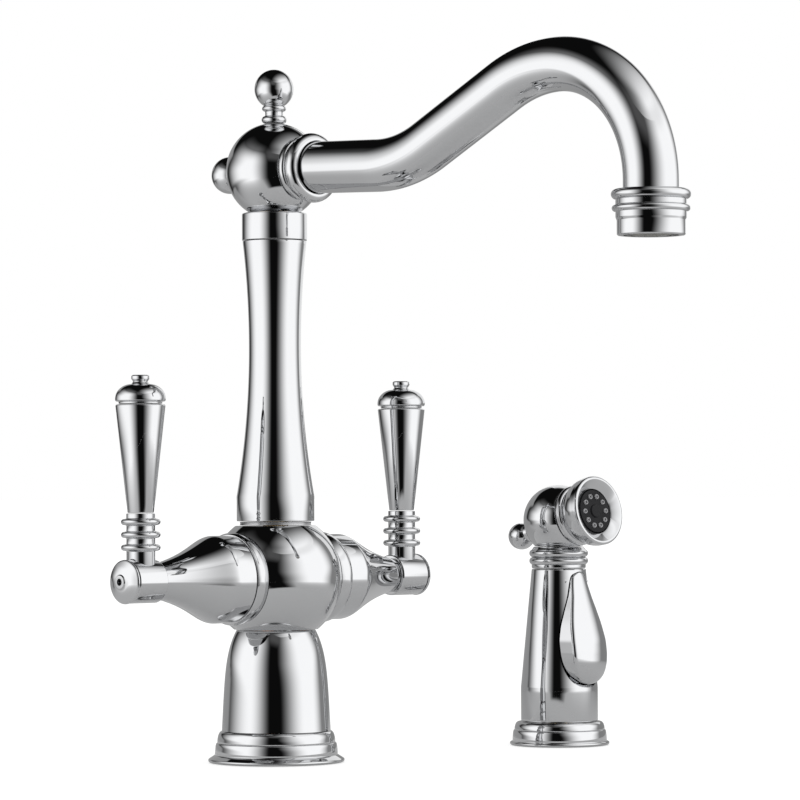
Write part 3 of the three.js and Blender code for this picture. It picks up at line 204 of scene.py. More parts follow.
def rounded(points, size=EDGE):
    """Replaces each corner of a profile by a small arc."""
    made = []
    for i, here in enumerate(points):
        here = np.array(here, float)
        if i in (0, len(points) - 1):
            made.append(here)
            continue
        before = np.array(points[i - 1], float) - here
        after = np.array(points[i + 1], float) - here
        length_before, length_after = np.linalg.norm(before), np.linalg.norm(after)
        if min(length_before, length_after) < TINY:
            continue
        before, after = before / length_before, after / length_after
        turn = math.acos(max(-1, min(1, -before @ after)))
        if math.degrees(turn) < LEAST_CORNER:
            made.append(here)
            continue
        reach = min(size * math.tan(turn / 2), SIDE_SHARE * length_before,
                    SIDE_SHARE * length_after)
        a, b = here + before * reach, here + after * reach
        for k in range(CORNER_STEPS + 1):
            t = k / CORNER_STEPS
            made.append((1 - t) ** 2 * a + 2 * t * (1 - t) * here + t ** 2 * b)
    return made


# ---------------------------------------------------------------- meshes


def new_object(name, verts, faces):
    """An object in the scene, from vertices in metres."""
    mesh = bpy.data.meshes.new(name)
    mesh.from_pydata([tuple(v) for v in verts], [], faces)
    made = bpy.data.objects.new(name, mesh)
    bpy.context.scene.collection.objects.link(made)
    return made


def piece(name, verts, faces, material, body, nodes, slot="polished_chrome", sharp=34):
    """A visible piece, from vertices in millimetres, that rides on a body of the frame."""
    made = new_object(name, np.asarray(verts) * MM, faces)
    mesh = made.data
    mesh.validate()
    mesh.polygons.foreach_set("use_smooth", [True] * len(mesh.polygons))
    mesh.set_sharp_from_angle(angle=math.radians(sharp))
    mesh.materials.append(material)
    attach(made, body)
    if nodes:
        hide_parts(*nodes)
    return made


def spin(profile, turns=TURNS, close=True):
    """Vertices and faces of a profile turned about Z, closed from its end to its start."""
    verts, rings = [], []
    angles = 2 * np.pi * np.arange(turns) / turns
    for r, h in profile:
        if r < TINY:
            rings.append([len(verts)])
            verts.append((0, 0, h))
        else:
            rings.append(list(range(len(verts), len(verts) + turns)))
            verts += [(r * c, r * s, h) for c, s in zip(np.cos(angles), np.sin(angles))]
    faces = []
    pairs = list(zip(rings, rings[1:]))
    if close and len(rings[0]) > 1 and len(rings[-1]) > 1:
        pairs.append((rings[-1], rings[0]))
    for low, high in pairs:
        if len(low) == 1 and len(high) == 1:
            continue
        for k in range(turns):
            n = (k + 1) % turns
            if len(low) == 1:
                faces.append((low[0], high[n], high[k]))
            elif len(high) == 1:
                faces.append((low[k], low[n], high[0]))
            else:
                faces.append((low[k], low[n], high[n], high[k]))
    return np.array(verts, float), faces


def turned(name, profile, matrix, body, nodes, material=CHROME, slot="polished_chrome",
           turns=TURNS, edge=EDGE):
    verts, faces = spin(rounded(profile, edge), turns)
    return piece(name, moved(verts, matrix), faces, material, body, nodes, slot)


def joined(parts):
    verts, faces, offset = [], [], 0
    for v, f in parts:
        verts.append(v)
        faces += [tuple(i + offset for i in face) for face in f]
        offset += len(v)
    return np.concatenate(verts), faces


def cut_flat(verts, faces, radius, flats):
    """Cuts a ball flat at right angles to each direction, at its distance from the middle."""
    uncut = new_object("uncut", verts * MM, faces)
    cutters = []
    far, wide = 1.5 * radius, 1.2 * radius
    for direction, distance in flats:
        sides, side_faces = spin([(0, distance), (wide, distance), (wide, far), (0, far)],
                                 64, close=False)
        cutter = new_object("cutter", moved(sides, toward(*direction)) * MM, side_faces)
        modifier = uncut.modifiers.new("cut", "BOOLEAN")
        modifier.operation = "DIFFERENCE"
        modifier.solver = "EXACT"
        modifier.object = cutter
        cutters.append(cutter)
    bpy.context.view_layer.update()
    evaluated = uncut.evaluated_get(bpy.context.evaluated_depsgraph_get())
    result = evaluated.to_mesh()
    cut_verts = np.array([v.co for v in result.vertices]) / MM
    cut_faces = [tuple(p.vertices) for p in result.polygons]
    evaluated.to_mesh_clear()
    for item in [uncut, *cutters]:
        bpy.data.objects.remove(item)
    return cut_verts, cut_faces


ON_BALL = 0.06          # millimetres from the ball's surface that still count as on it
ALONG_BALL = 0.985      # cosine of the angle between a face of the ball and its direction


def ball_with_flats(name, radius, foot_flat, top_flat, flats, centre, body, nodes):
    """A ball whose poles are cut flat, and that is cut flat along other directions too."""
    profile = [(0, -flat(radius, foot_flat)), *ball(radius, foot_flat, top_flat, 2.5),
               (0, flat(radius, top_flat))]
    verts, faces = spin(rounded(profile), LARGE_TURNS, close=False)
    verts, faces = cut_flat(verts, faces, radius, flats)
    made = piece(name, moved(verts, centre), faces, CHROME, body, nodes, sharp=20)
    # The round faces get the ball's exact directions, so that the cuts leave no ripples.
    mesh = made.data
    middle = np.array(centre.translation) * MM
    normals = []
    for polygon in mesh.polygons:
        for vertex in polygon.vertices:
            out = np.array(mesh.vertices[vertex].co) - middle
            distance = np.linalg.norm(out)
            facing = abs(np.array(polygon.normal) @ out / distance)
            on_ball = abs(distance / MM - radius) < ON_BALL and facing > ALONG_BALL
            normals.append(tuple(out / distance) if on_ball else tuple(polygon.normal))
    mesh.normals_split_custom_set(normals)


# ---------------------------------------------------------------- base and pedestal

BASE_TOP = 15.0
PEDESTAL_FOOT = BASE_TOP + GAP
PEDESTAL_HEIGHT = 48.9
PEDESTAL_TOP = PEDESTAL_FOOT + PEDESTAL_HEIGHT
BODY_FOOT = PEDESTAL_TOP + GAP
BODY_BALL = 32.2
BODY_FOOT_FLAT = 20.5
BODY_TOP_FLAT = 19.6
HANDLE_AXIS = BODY_FOOT + flat(BODY_BALL, BODY_FOOT_FLAT)
BODY_TOP = HANDLE_AXIS + flat(BODY_BALL, BODY_TOP_FLAT)
BODY_SIDE = flat(BODY_BALL, 21.3)
GASKET_ROOM = 1.8       # the height that the rubber under a flange takes up inside it


def flange(name, lip, lip_height, mouldings, hole, recess, place, nodes):
    top = mouldings[-1][1]
    half = lip_height / 2
    profile = [(recess, 0), *arc(lip - half, half, half, -88, 60, 8), *mouldings,
               (hole, top), (hole, GASKET_ROOM), (recess, GASKET_ROOM)]
    turned(name, profile, place, "faucet", nodes)


flange("base_flange_form", 33.2, 1.9,
       [(31.3, 2.7), (30.2, 3.4), *ovolo(29.9, 3.5, 29.0, 9.3), (28.6, 9.5),
        *ovolo(28.75, 9.5, 26.7, BASE_TOP)],
       19, 30.7, UP, ["base_flange"])

PEDESTAL_RADIUS = 26.5
PEDESTAL_TAPER = 2.6    # by which its radius falls evenly over its height
PEDESTAL_NIP = 4.7      # by which it falls more and more towards the top
PEDESTAL_BORE = 21
NECK_BORE = 16.3        # at its top
steps = [k / 40 for k in range(41)]
turned("pedestal_form",
       [*[(PEDESTAL_RADIUS - PEDESTAL_TAPER * t - PEDESTAL_NIP * t ** 5,
           PEDESTAL_FOOT + PEDESTAL_HEIGHT * t) for t in steps],
        (NECK_BORE, PEDESTAL_TOP), (NECK_BORE, 51), (PEDESTAL_BORE, 46.3),
        (PEDESTAL_BORE, PEDESTAL_FOOT)],
       UP, "faucet", ["pedestal"])

# ---------------------------------------------------------------- valve body

ball_with_flats("valve_body_form", BODY_BALL, BODY_FOOT_FLAT, BODY_TOP_FLAT,
                [((1, 0, 0), BODY_SIDE), ((-1, 0, 0), BODY_SIDE)],
                at(0, 0, HANDLE_AXIS), "faucet", ["valve_body"])

HANDLES = ("right", 1), ("left", -1)

# Distances from the faucet's axis, out along the handles' axis.
TRIM = BODY_SIDE + GAP
TRIM_END = TRIM + 7
TRIM_BORE = 15.4
BONNET = TRIM_END + GAP
BONNET_BAND = BONNET + 9.8
BONNET_END = BONNET_BAND + 36.45
BONNET_RADIUS = 21.05
BONNET_BORE = 16.45
NECK_RADIUS = 8.3
SPINDLE_BORE = 4.3

for side, sign in HANDLES:
    axis = at(0, 0, HANDLE_AXIS, toward(sign, 0, 0))
    turned(f"{side}_trim_ring_form",
           [(TRIM_BORE, TRIM), (21.3, TRIM), (21.9, TRIM + 1.6), (22.3, TRIM + 3.5),
            (22.3, TRIM_END - 1.6), (21.5, TRIM_END), (TRIM_BORE, TRIM_END)],
           axis, "faucet", [f"{side}_trim_ring"])
    sweep = bezier([(BONNET_RADIUS, BONNET_BAND), (BONNET_RADIUS, BONNET_BAND + 4.2),
                    (12.6, BONNET_BAND + 14.5), (NECK_RADIUS, BONNET_END)], 60)
    turned(f"{side}_bonnet_form",
           [(BONNET_BORE, BONNET), (BONNET_RADIUS, BONNET), (BONNET_RADIUS, BONNET_BAND), *sweep,
            (SPINDLE_BORE, BONNET_END), (SPINDLE_BORE, BONNET_END - 9.2),
            (BONNET_BORE, BONNET_BAND - 0.4)],
           axis, "faucet", [f"{side}_bonnet"])

# ---------------------------------------------------------------- column and seat ring

SEAT = BODY_TOP + GAP
SEAT_END = SEAT + 1.6
SEAT_BORE = 11
turned("column_seat_ring_form",
       [(SEAT_BORE, SEAT), (17.6, SEAT), (17.2, SEAT + 0.8), (17.6, SEAT_END),
        (SEAT_BORE, SEAT_END)],
       UP, "faucet", ["column_seat_ring"], material=STEEL, slot="steel")

COLUMN_FOOT = SEAT_END + GAP
COLUMN_RADIUS = 18.95   # of the straight band at its foot
WAIST_RADIUS = 12.67
BELLY = 73.2            # from the band up to the waist
SHAFT = 51.6            # from the waist up
CREASE = COLUMN_FOOT + 11.9
WAIST = CREASE + BELLY
COLUMN_TOP = WAIST + SHAFT
outside = [(COLUMN_RADIUS, COLUMN_FOOT), (COLUMN_RADIUS, CREASE)]
outside += [(WAIST_RADIUS + 6.28 * t ** 2, WAIST - BELLY * t) for t in np.linspace(0.97, 0, 40)]
outside += [(WAIST_RADIUS + 2.93 * t ** 2, WAIST + SHAFT * t) for t in np.linspace(0.03, 1, 30)]
turned("column_form", [(10.7, COLUMN_FOOT), *outside, (10, COLUMN_TOP)],
       UP, "faucet", ["column"], turns=LARGE_TURNS)

# ---------------------------------------------------------------- handles

# Out along the handles' axis again.
HUB = BONNET_END + GAP
HUB_END = HUB + 17.65
HUB_RADIUS = 10.15
LEVER_AXIS = HUB + 8.7
HUB_CAP = HUB_END + GAP
HUB_CAP_RADIUS = 10.5
HUB_CAP_HEIGHT = 4.2
SCREW_BORE = 1.7        # in the cap
SCREW_WELL = 4          # in the hub
SCREW_WELL_DEPTH = 3.3
# Shares of the cap's radius and height, round its outside.
HUB_CAP_FORM = [(0.975, 0.04), (0.995, 0.1), (0.99, 0.2), (0.955, 0.29), (0.9, 0.36), (0.82, 0.46),
                (0.72, 0.58), (0.62, 0.68), (0.52, 0.755), (0.43, 0.8), (0.37, 0.8), (0.335, 0.83)]

# Up along the lever.
STEM_FOOT = 5.5
STEM_RADIUS = 6.8
RING_HEIGHTS = [16.05 + 6.05 * k for k in range(3)]
STEM_TOP = RING_HEIGHTS[-1] + 4
GRIP = STEM_TOP + GAP
GRIP_TOP = GRIP + 51.1
GRIP_RADIUS = 11.8      # at its top
CAP = GRIP_TOP + GAP
CAP_BAND = CAP + 1.1
CAP_RADIUS = 11.93
CAP_DOME = CAP_BAND + 1.25
CAP_TOP = CAP_BAND + 2.4 + 5.8

for side, sign in HANDLES:
    body = f"{side}_handle"
    axis = at(0, 0, HANDLE_AXIS, toward(sign, 0, 0))
    turned(f"{side}_hub_form",
           [(SPINDLE_BORE, HUB), (HUB_RADIUS - BEVEL, HUB), (HUB_RADIUS, HUB + BEVEL),
            (HUB_RADIUS, HUB_END - BEVEL), (HUB_RADIUS - BEVEL, HUB_END),
            (SCREW_WELL, HUB_END), (SCREW_WELL, HUB_END - SCREW_WELL_DEPTH),
            (0, HUB_END - SCREW_WELL_DEPTH)],
           axis, body, [f"{side}_hub"])
    dome = [(HUB_CAP_RADIUS * out, HUB_CAP + HUB_CAP_HEIGHT * along)
            for out, along in HUB_CAP_FORM]
    turned(f"{side}_hub_cap_form",
           [(SCREW_BORE, HUB_CAP), (10, HUB_CAP), *dome, (3.4, HUB_CAP + 3.85),
            (3.05, HUB_CAP + HUB_CAP_HEIGHT), (SCREW_BORE, HUB_CAP + HUB_CAP_HEIGHT)],
           axis, body, [f"{side}_hub_cap"], turns=SMALL_TURNS, edge=0.2)
    lever = at(sign * LEVER_AXIS, 0, HANDLE_AXIS)
    rings = []
    for height in RING_HEIGHTS:
        rings += [(STEM_RADIUS, height - 1.65), *bead(9.35, height, 1.45),
                  (STEM_RADIUS, height + 1.65)]
    turned(f"{side}_lever_stem_form",
           [(0, STEM_FOOT), (STEM_RADIUS, STEM_FOOT), *rings, (STEM_RADIUS, STEM_TOP),
            (0, STEM_TOP)],
           lever, body, [f"{side}_lever_stem"], turns=SMALL_TURNS)
    turned(f"{side}_lever_grip_form",
           [(0, GRIP), (6.2, GRIP), (GRIP_RADIUS, GRIP_TOP - BEVEL),
            (GRIP_RADIUS - BEVEL, GRIP_TOP), (0, GRIP_TOP)],
           lever, body, [f"{side}_lever_grip"], turns=SMALL_TURNS)
    turned(f"{side}_lever_cap_form",
           [(0, CAP), (10.3, CAP), (10.3, CAP_BAND), (11.4, CAP_BAND),
            (CAP_RADIUS, CAP_BAND + BEVEL), (CAP_RADIUS, CAP_BAND + 1.2),
            *ovolo(CAP_RADIUS, CAP_DOME, 4.3, CAP_TOP, 20), (3.4, CAP_TOP + 1.2),
            (4.25, CAP_TOP + 2.4), (4.25, CAP_TOP + 3.8), (3.75, CAP_TOP + 4.3),
            (0, CAP_TOP + 4.3)],
           lever, body, [f"{side}_lever_cap"], turns=SMALL_TURNS)

# ---------------------------------------------------------------- swivelling spout

COLLAR = COLUMN_TOP + GAP
COLLAR_TOP = COLLAR + 13.3
COLLAR_RADIUS = 15.9
COLLAR_BORE = 10
turned("swivel_collar_form",
       [(COLLAR_BORE, COLLAR), (COLLAR_RADIUS, COLLAR), (COLLAR_RADIUS, COLLAR_TOP - BEVEL),
        (COLLAR_RADIUS - BEVEL, COLLAR_TOP), (COLLAR_BORE, COLLAR_TOP)],
       UP, "spout", ["swivel_collar"])

SPOUT_BALL = 23.6
SPOUT_FOOT_FLAT = 12.1
SPOUT_TOP_FLAT = 5
SPOUT_AXIS = COLLAR_TOP + GAP + flat(SPOUT_BALL, SPOUT_FOOT_FLAT)
BALL_TOP = SPOUT_AXIS + flat(SPOUT_BALL, SPOUT_TOP_FLAT)
BALL_FRONT = flat(SPOUT_BALL, 15)
BALL_REAR = flat(SPOUT_BALL, 5.6)
ball_with_flats("spout_ball_form", SPOUT_BALL, SPOUT_FOOT_FLAT, SPOUT_TOP_FLAT,
                [((0, -1, 0), BALL_FRONT), ((0, 1, 0), BALL_REAR)],
                at(0, 0, SPOUT_AXIS), "spout", ["spout_ball"])

FIRST_BEAD = GAP + 1.85
SECOND_BEAD = FIRST_BEAD + 5.5
FINIAL_NECK = 4.4
turned("top_finial_form",
       [(0, GAP), (4.5, GAP), *bead(6.15, FIRST_BEAD, 1.85), (FINIAL_NECK, FIRST_BEAD + 2.3),
        (4.35, FIRST_BEAD + 3), (FINIAL_NECK, SECOND_BEAD - 1.7), *bead(5.9, SECOND_BEAD, 1.35),
        (4.6, SECOND_BEAD + 1.5), (FINIAL_NECK, SECOND_BEAD + 2.6),
        *knob(9.55, FINIAL_NECK, 17.2)],
       at(0, 0, BALL_TOP), "spout", ["top_finial"], turns=SMALL_TURNS)
turned("rear_finial_form",
       [(0, GAP), (5.3, GAP), *knob(9.1, 5.6, 9.2)],
       at(0, BALL_REAR, SPOUT_AXIS, toward(0, 1, 0)), "spout", ["rear_finial"],
       turns=SMALL_TURNS)

SPOUT_RING = BALL_FRONT + GAP
SPOUT_RING_LENGTH = 12.2
SPOUT_RING_END = SPOUT_RING + SPOUT_RING_LENGTH
SPOUT_RING_BORE = 13.1
turned("spout_ring_form",
       [(SPOUT_RING_BORE, SPOUT_RING), (14.6, SPOUT_RING), *bead(15.5, SPOUT_RING + 2.1, 1.6, 84),
        *bead(16.8, SPOUT_RING_END - 3.7, 3.7, 86), (SPOUT_RING_BORE, SPOUT_RING_END)],
       at(0, 0, SPOUT_AXIS, toward(0, -1, 0)), "spout", ["spout_ring"])

TUBE_RADIUS = 12.5
TUBE_SIDES = 128
TUBE_INSET = 6          # how far the tube starts inside the ball
# Length, change of heading in degrees and count of steps of each stretch, from the ball on.
STRETCHES = [(TUBE_INSET + GAP + SPOUT_RING_LENGTH, 0, 2), (12.2 * math.radians(2.4), -2.4, 4),
             (40.5, 0, 8), (72 * math.radians(28.4), 28.4, 24), (54.2, 0, 10),
             (75.3 * math.radians(26), -26, 24), (56 * math.radians(90), -90, 60), (9.9, 0, 3)]


def spout_line():
    """Stations along the spout's centre line: distance forward, height and heading."""
    x, z, heading = BALL_FRONT - TUBE_INSET, 0.0, 0.0
    stations = [(x, z, heading)]
    for length, turn, count in STRETCHES:
        bend = math.radians(turn) / count
        step = length / count
        chord = step if bend == 0 else 2 * step / bend * math.sin(bend / 2)
        for _ in range(count):
            x += chord * math.cos(heading + bend / 2)
            z += chord * math.sin(heading + bend / 2)
            heading += bend
            stations.append((x, z, heading))
    return stations


def tube_along(stations):
    """A round tube in the middle plane, closed at both ends."""
    verts, faces = [], []
    for x, z, heading in stations:
        for k in range(TUBE_SIDES):
            angle = 2 * math.pi * k / TUBE_SIDES
            out = TUBE_RADIUS * math.cos(angle)
            verts.append((TUBE_RADIUS * math.sin(angle), -(x - out * math.sin(heading)),
                          SPOUT_AXIS + z + out * math.cos(heading)))
    last = (len(stations) - 1) * TUBE_SIDES
    for low in range(0, last, TUBE_SIDES):
        for k in range(TUBE_SIDES):
            a, b = low + k, low + (k + 1) % TUBE_SIDES
            faces.append((a, b, b + TUBE_SIDES, a + TUBE_SIDES))
    faces.append(tuple(range(TUBE_SIDES))[::-1])
    faces.append(tuple(range(last, last + TUBE_SIDES)))
    return verts, faces


line = spout_line()
piece("spout_tube_form", *tube_along(line), CHROME, "spout", ["spout_tube"])

# Heights about the end of the tube.
OUT_X, OUT_Z, _ = line[-1]
UPPER_BEAD = 3.6
LOWER_BEAD = UPPER_BEAD - 6.2
OUTLET_FOOT = LOWER_BEAD - 12.1
OUTLET_RADIUS = 15.3
OUTLET_BAND = 15.85
AERATOR_BORE = 12.3
TUBE_BORE = 12.8
turned("outlet_collar_form",
       [(AERATOR_BORE, OUTLET_FOOT), (OUTLET_RADIUS - BEVEL, OUTLET_FOOT),
        (OUTLET_RADIUS, OUTLET_FOOT + BEVEL), (OUTLET_RADIUS, OUTLET_FOOT + 6.6),
        (15.45, OUTLET_FOOT + 7.1), (15.75, OUTLET_FOOT + 7.7), (OUTLET_BAND, OUTLET_FOOT + 8.1),
        (OUTLET_BAND, LOWER_BEAD - 1.6), *bead(17.5, LOWER_BEAD, 1.5),
        (OUTLET_BAND, LOWER_BEAD + 1.6), (OUTLET_BAND, UPPER_BEAD - 2.35),
        *bead(17.85, UPPER_BEAD, 2.3, 86), (TUBE_BORE, UPPER_BEAD + 2.3), (TUBE_BORE, -GAP),
        (AERATOR_BORE, -GAP)],
       at(0, -OUT_X, SPOUT_AXIS + OUT_Z), "spout", ["outlet_collar"])

# ---------------------------------------------------------------- side spray: deck holder

SPRAY_X, SPRAY_Y = 182.6, -19.4
spray = at(SPRAY_X, SPRAY_Y, 0)
flange("spray_flange_form", 25.74, 1.9,
       [(24.6, 1.85), *ovolo(24.4, 1.9, 23.6, 7.7), (23.2, 7.9), *ovolo(23.35, 7.9, 21.3, 12)],
       14, 23.3, spray, ["spray_flange"])

# ---------------------------------------------------------------- side spray: wand and trigger

WAND = 12.3
WAND_CREASE = WAND + 17.3
CONE_LENGTH = 61.2
WAND_TOP = WAND_CREASE + CONE_LENGTH
WAND_RADIUS = 19.9
WAND_TOP_RADIUS = 14.0
WAND_BORE = 6           # at its top, and on through the neck and the head
HOSE_BORE = 9.5         # at its foot
WAND_SIDES = 144

TRIGGER_LENGTH = 57.4
TRIGGER_FOOT = WAND + 76.7 - TRIGGER_LENGTH
TRIGGER_HALF = 12.7     # half its greatest width
TRIGGER_ROWS = 110
FACE_STEPS = 40         # points across its face
TRIGGER_EDGE = 1.3      # radius of the face's rounded edges
NARROW_EDGE = 0.45      # the most of it where the face is narrow, as a share of its half width
CROWN = 0.24            # the face's height over its edges, as a share of its half width
HINGE_SHARE = 0.72      # above this share of its length the trigger is deeper, for its hinge
VALVE_BACK = 13.7       # from the wand's axis to the trigger's back, below that share
HINGE_BACK = 9.3        # and above it
FLANK_DEPTH = 1.2       # how far its flanks reach into the slot
FLANK_INSIDE = 0.8      # where they end towards the middle, as a share of its half width
# Share of its length from the foot, share of its half width, rise over the cone.
FORM = np.array([
    (0.000, 0.16, 1.2), (0.012, 0.38, 2.4), (0.03, 0.55, 3.4), (0.06, 0.71, 4.5), (0.09, 0.81, 5.3),
    (0.15, 0.92, 6.3), (0.21, 0.975, 6.9), (0.29, 1.0, 7.2), (0.36, 1.0, 7.1), (0.50, 0.93, 6.0),
    (0.65, 0.77, 4.4), (0.79, 0.59, 2.8), (0.92, 0.46, 1.4), (0.965, 0.39, 1.0), (0.985, 0.31, 0.8),
    (1.000, 0.14, 0.6)])

SLOT_GAP = 0.5          # between the trigger and the slot
SLOT_BACK = 6.5         # from the wand's axis to the slot's back
SLOT_DROP = 1.5         # how far the slot goes on below the trigger
DROP_SHARE = 0.4        # the share of the trigger's length that is drawn out for that
SLOT_FOOT = TRIGGER_FOOT - SLOT_DROP
SLOT_TOP = TRIGGER_FOOT + TRIGGER_LENGTH + SLOT_GAP
SLOT_ROWS = 90
SLOT_ROUND = 0.25       # the height over which the slot's foot opens
NEAR = 0.05             # rows this near to the slot's ends belong to it


def wand_radius(height):
    share = max(0.0, (height - WAND_CREASE) / CONE_LENGTH)
    return WAND_RADIUS - (WAND_RADIUS - WAND_TOP_RADIUS) * share


def smooth_through(x, knots, values):
    """Monotone cubic interpolation, which keeps the form free of bumps."""
    h = np.diff(knots)
    d = np.diff(values) / h
    m = np.zeros(len(knots))
    m[0], m[-1] = d[0], d[-1]
    for i in range(1, len(knots) - 1):
        if d[i - 1] * d[i] > 0:
            w1, w2 = 2 * h[i] + h[i - 1], h[i] + 2 * h[i - 1]
            m[i] = (w1 + w2) / (w1 / d[i - 1] + w2 / d[i])
    i = np.clip(np.searchsorted(knots, x, side="right") - 1, 0, len(knots) - 2)
    t = (x - knots[i]) / h[i]
    return ((2 * t ** 3 - 3 * t ** 2 + 1) * values[i] + (t ** 3 - 2 * t ** 2 + t) * h[i] * m[i]
            + (-2 * t ** 3 + 3 * t ** 2) * values[i + 1] + (t ** 3 - t ** 2) * h[i] * m[i + 1])


def trigger_size(share):
    """Half width and reach of the trigger's face at a share of its length."""
    share = np.clip(share, 0, 1)
    half = TRIGGER_HALF * smooth_through(share, FORM[:, 0], FORM[:, 1])
    rise = smooth_through(share, FORM[:, 0], FORM[:, 2])
    return half, wand_radius(TRIGGER_FOOT + TRIGGER_LENGTH * share) + rise


def spread(count):
    """Shares from 0 to 1, close together at both ends."""
    return (1 - np.cos(math.pi * np.linspace(0, 1, count + 1))) / 2


def slot_half(height):
    """Half the slot's width: the trigger's and the gap, closed at the foot and the top."""
    if not SLOT_FOOT < height < SLOT_TOP:
        return 0.0
    lift = height - TRIGGER_FOOT
    if lift > DROP_SHARE * TRIGGER_LENGTH:
        share = lift / TRIGGER_LENGTH
    else:
        share = (lift + SLOT_DROP) / (TRIGGER_LENGTH + SLOT_DROP / DROP_SHARE)
    if share > 1:
        closing = max(0, (SLOT_TOP - height) / SLOT_GAP)
    else:
        closing = min(1, (height - SLOT_FOOT) / SLOT_ROUND)
    return (trigger_size(share)[0] + SLOT_GAP) * math.sqrt(closing)


def make_wand():
    """The cone is a grid of rows whose ends stop at the slot, with walls back into it."""
    heights = [*np.linspace(WAND + 1.2, SLOT_FOOT - 0.02, 12),
               *(SLOT_FOOT + (SLOT_TOP - SLOT_FOOT) * spread(SLOT_ROWS)),
               *np.linspace(SLOT_TOP + 0.02, WAND_TOP - 0.5, 4)]
    # Radius, height and half the slot's angle of each row, with rounded edges at both ends.
    rows = [(WAND_RADIUS - BEVEL, WAND, 0.0), (WAND_RADIUS - 0.15, WAND + 0.12, 0.0),
            (WAND_RADIUS, WAND + BEVEL, 0.0)]
    for height in heights:
        radius = wand_radius(height)
        rows.append((radius, height, math.asin(min(0.99, slot_half(height) / radius))))
    rows += [(WAND_TOP_RADIUS, WAND_TOP - 0.4, 0.0),
             (WAND_TOP_RADIUS - 0.15, WAND_TOP - 0.1, 0.0), (WAND_TOP_RADIUS - 0.4, WAND_TOP, 0.0)]
    across = WAND_SIDES + 1
    verts, faces = [], []
    for radius, height, gap in rows:
        for k in range(across):
            angle = -math.pi / 2 + gap + (2 * math.pi - 2 * gap) * k / WAND_SIDES
            verts.append((radius * math.cos(angle), radius * math.sin(angle), height))
    for row in range(len(rows) - 1):
        for k in range(WAND_SIDES):
            a = row * across + k
            faces.append((a, a + 1, a + across + 1, a + across))
    # The slot's walls go straight back from the ends of the rows, to its back face.
    used = [i for i, row in enumerate(rows) if SLOT_FOOT - NEAR < row[1] < SLOT_TOP + NEAR]
    ends = 0, WAND_SIDES
    for end in ends:
        base = len(verts)
        for i in used:
            x, y, z = verts[i * across + end]
            verts += [(x, y, z), (x, -SLOT_BACK, z)]
        for k in range(len(used) - 1):
            a = base + 2 * k
            quad = (a, a + 1, a + 3, a + 2)
            faces.append(quad if end == 0 else quad[::-1])
    base = len(verts)
    for i in used:
        for end in ends:
            x, _, z = verts[i * across + end]
            verts.append((x, -SLOT_BACK, z))
    for k in range(len(used) - 1):
        a = base + 2 * k
        faces.append((a + 1, a, a + 2, a + 3))
    underside = spin([(HOSE_BORE, WAND), (WAND_RADIUS - BEVEL, WAND)], WAND_SIDES, close=False)
    lid = spin([(WAND_TOP_RADIUS - 0.4, WAND_TOP), (WAND_BORE, WAND_TOP)], WAND_SIDES,
               close=False)
    return joined([(np.array(verts), faces), underside, lid])


def make_trigger():
    """Level sections, each a crowned face with rounded edges and straight flanks."""
    verts, faces = [], []
    for share in spread(TRIGGER_ROWS):
        half, reach = trigger_size(share)
        height = TRIGGER_FOOT + TRIGGER_LENGTH * share
        back = HINGE_BACK if share > HINGE_SHARE else VALVE_BACK
        edge = min(TRIGGER_EDGE, half * NARROW_EDGE)
        crown = CROWN * half
        # The flanks reach past the slot's edge; between them the back is hollow for the valve.
        slot_edge = math.sqrt(wand_radius(height) ** 2 - (half + SLOT_GAP) ** 2)
        flank = min(back, slot_edge - FLANK_DEPTH)
        shoulder = reach - crown - edge + 0.001
        loop = [(half, flank), (half, shoulder)]
        for k in range(FACE_STEPS + 1):
            x = half * math.sin((1 - 2 * k / FACE_STEPS) * math.pi / 2)
            rim = max(0.0, (abs(x) - (half - edge)) / edge)
            drop = crown * (abs(x) / half) ** 2 + edge * (1 - math.sqrt(max(0.0, 1 - rim ** 2)))
            loop.append((x, reach - drop))
        inner = FLANK_INSIDE * half
        loop += [(-half, shoulder), (-half, flank), (-inner, flank), (-inner, back),
                 (inner, back), (inner, flank)]
        verts += [(x, -out, height) for x, out in loop]
    count = len(loop)
    last = TRIGGER_ROWS * count
    for low in range(0, last, count):
        for k in range(count):
            a, b = low + k, low + (k + 1) % count
            faces.append((b, a, a + count, b + count))
    faces.append(tuple(range(count)))
    faces.append(tuple(range(last, last + count))[::-1])
    return np.array(verts), faces


verts, faces = make_wand()
piece("wand_body_form", moved(verts, spray), faces, CHROME, "spray_wand", ["wand_body"])
verts, faces = make_trigger()
piece("trigger_form", moved(verts, spray), faces, CHROME, "spray_trigger", ["trigger"], sharp=42)

# ---------------------------------------------------------------- side spray: neck and head

NECK = WAND_TOP + GAP
LOWER_RING = NECK + 3.9
UPPER_RING = LOWER_RING + 3.9
NECK_TOP = UPPER_RING + 3.4
turned("wand_neck_ring_form",
       [(WAND_BORE, NECK), (13.6, NECK), (14, NECK + BEVEL), (14, LOWER_RING - 1.95),
        *arc(13.2, LOWER_RING, 2, -75, 78, 8), *arc(13.2, UPPER_RING, 2, -78, 70, 8),
        (13.45, UPPER_RING + 2.5), (13.2, NECK_TOP - BEVEL), (12.8, NECK_TOP),
        (WAND_BORE, NECK_TOP)],
       spray, "spray_wand", ["wand_neck_ring"])

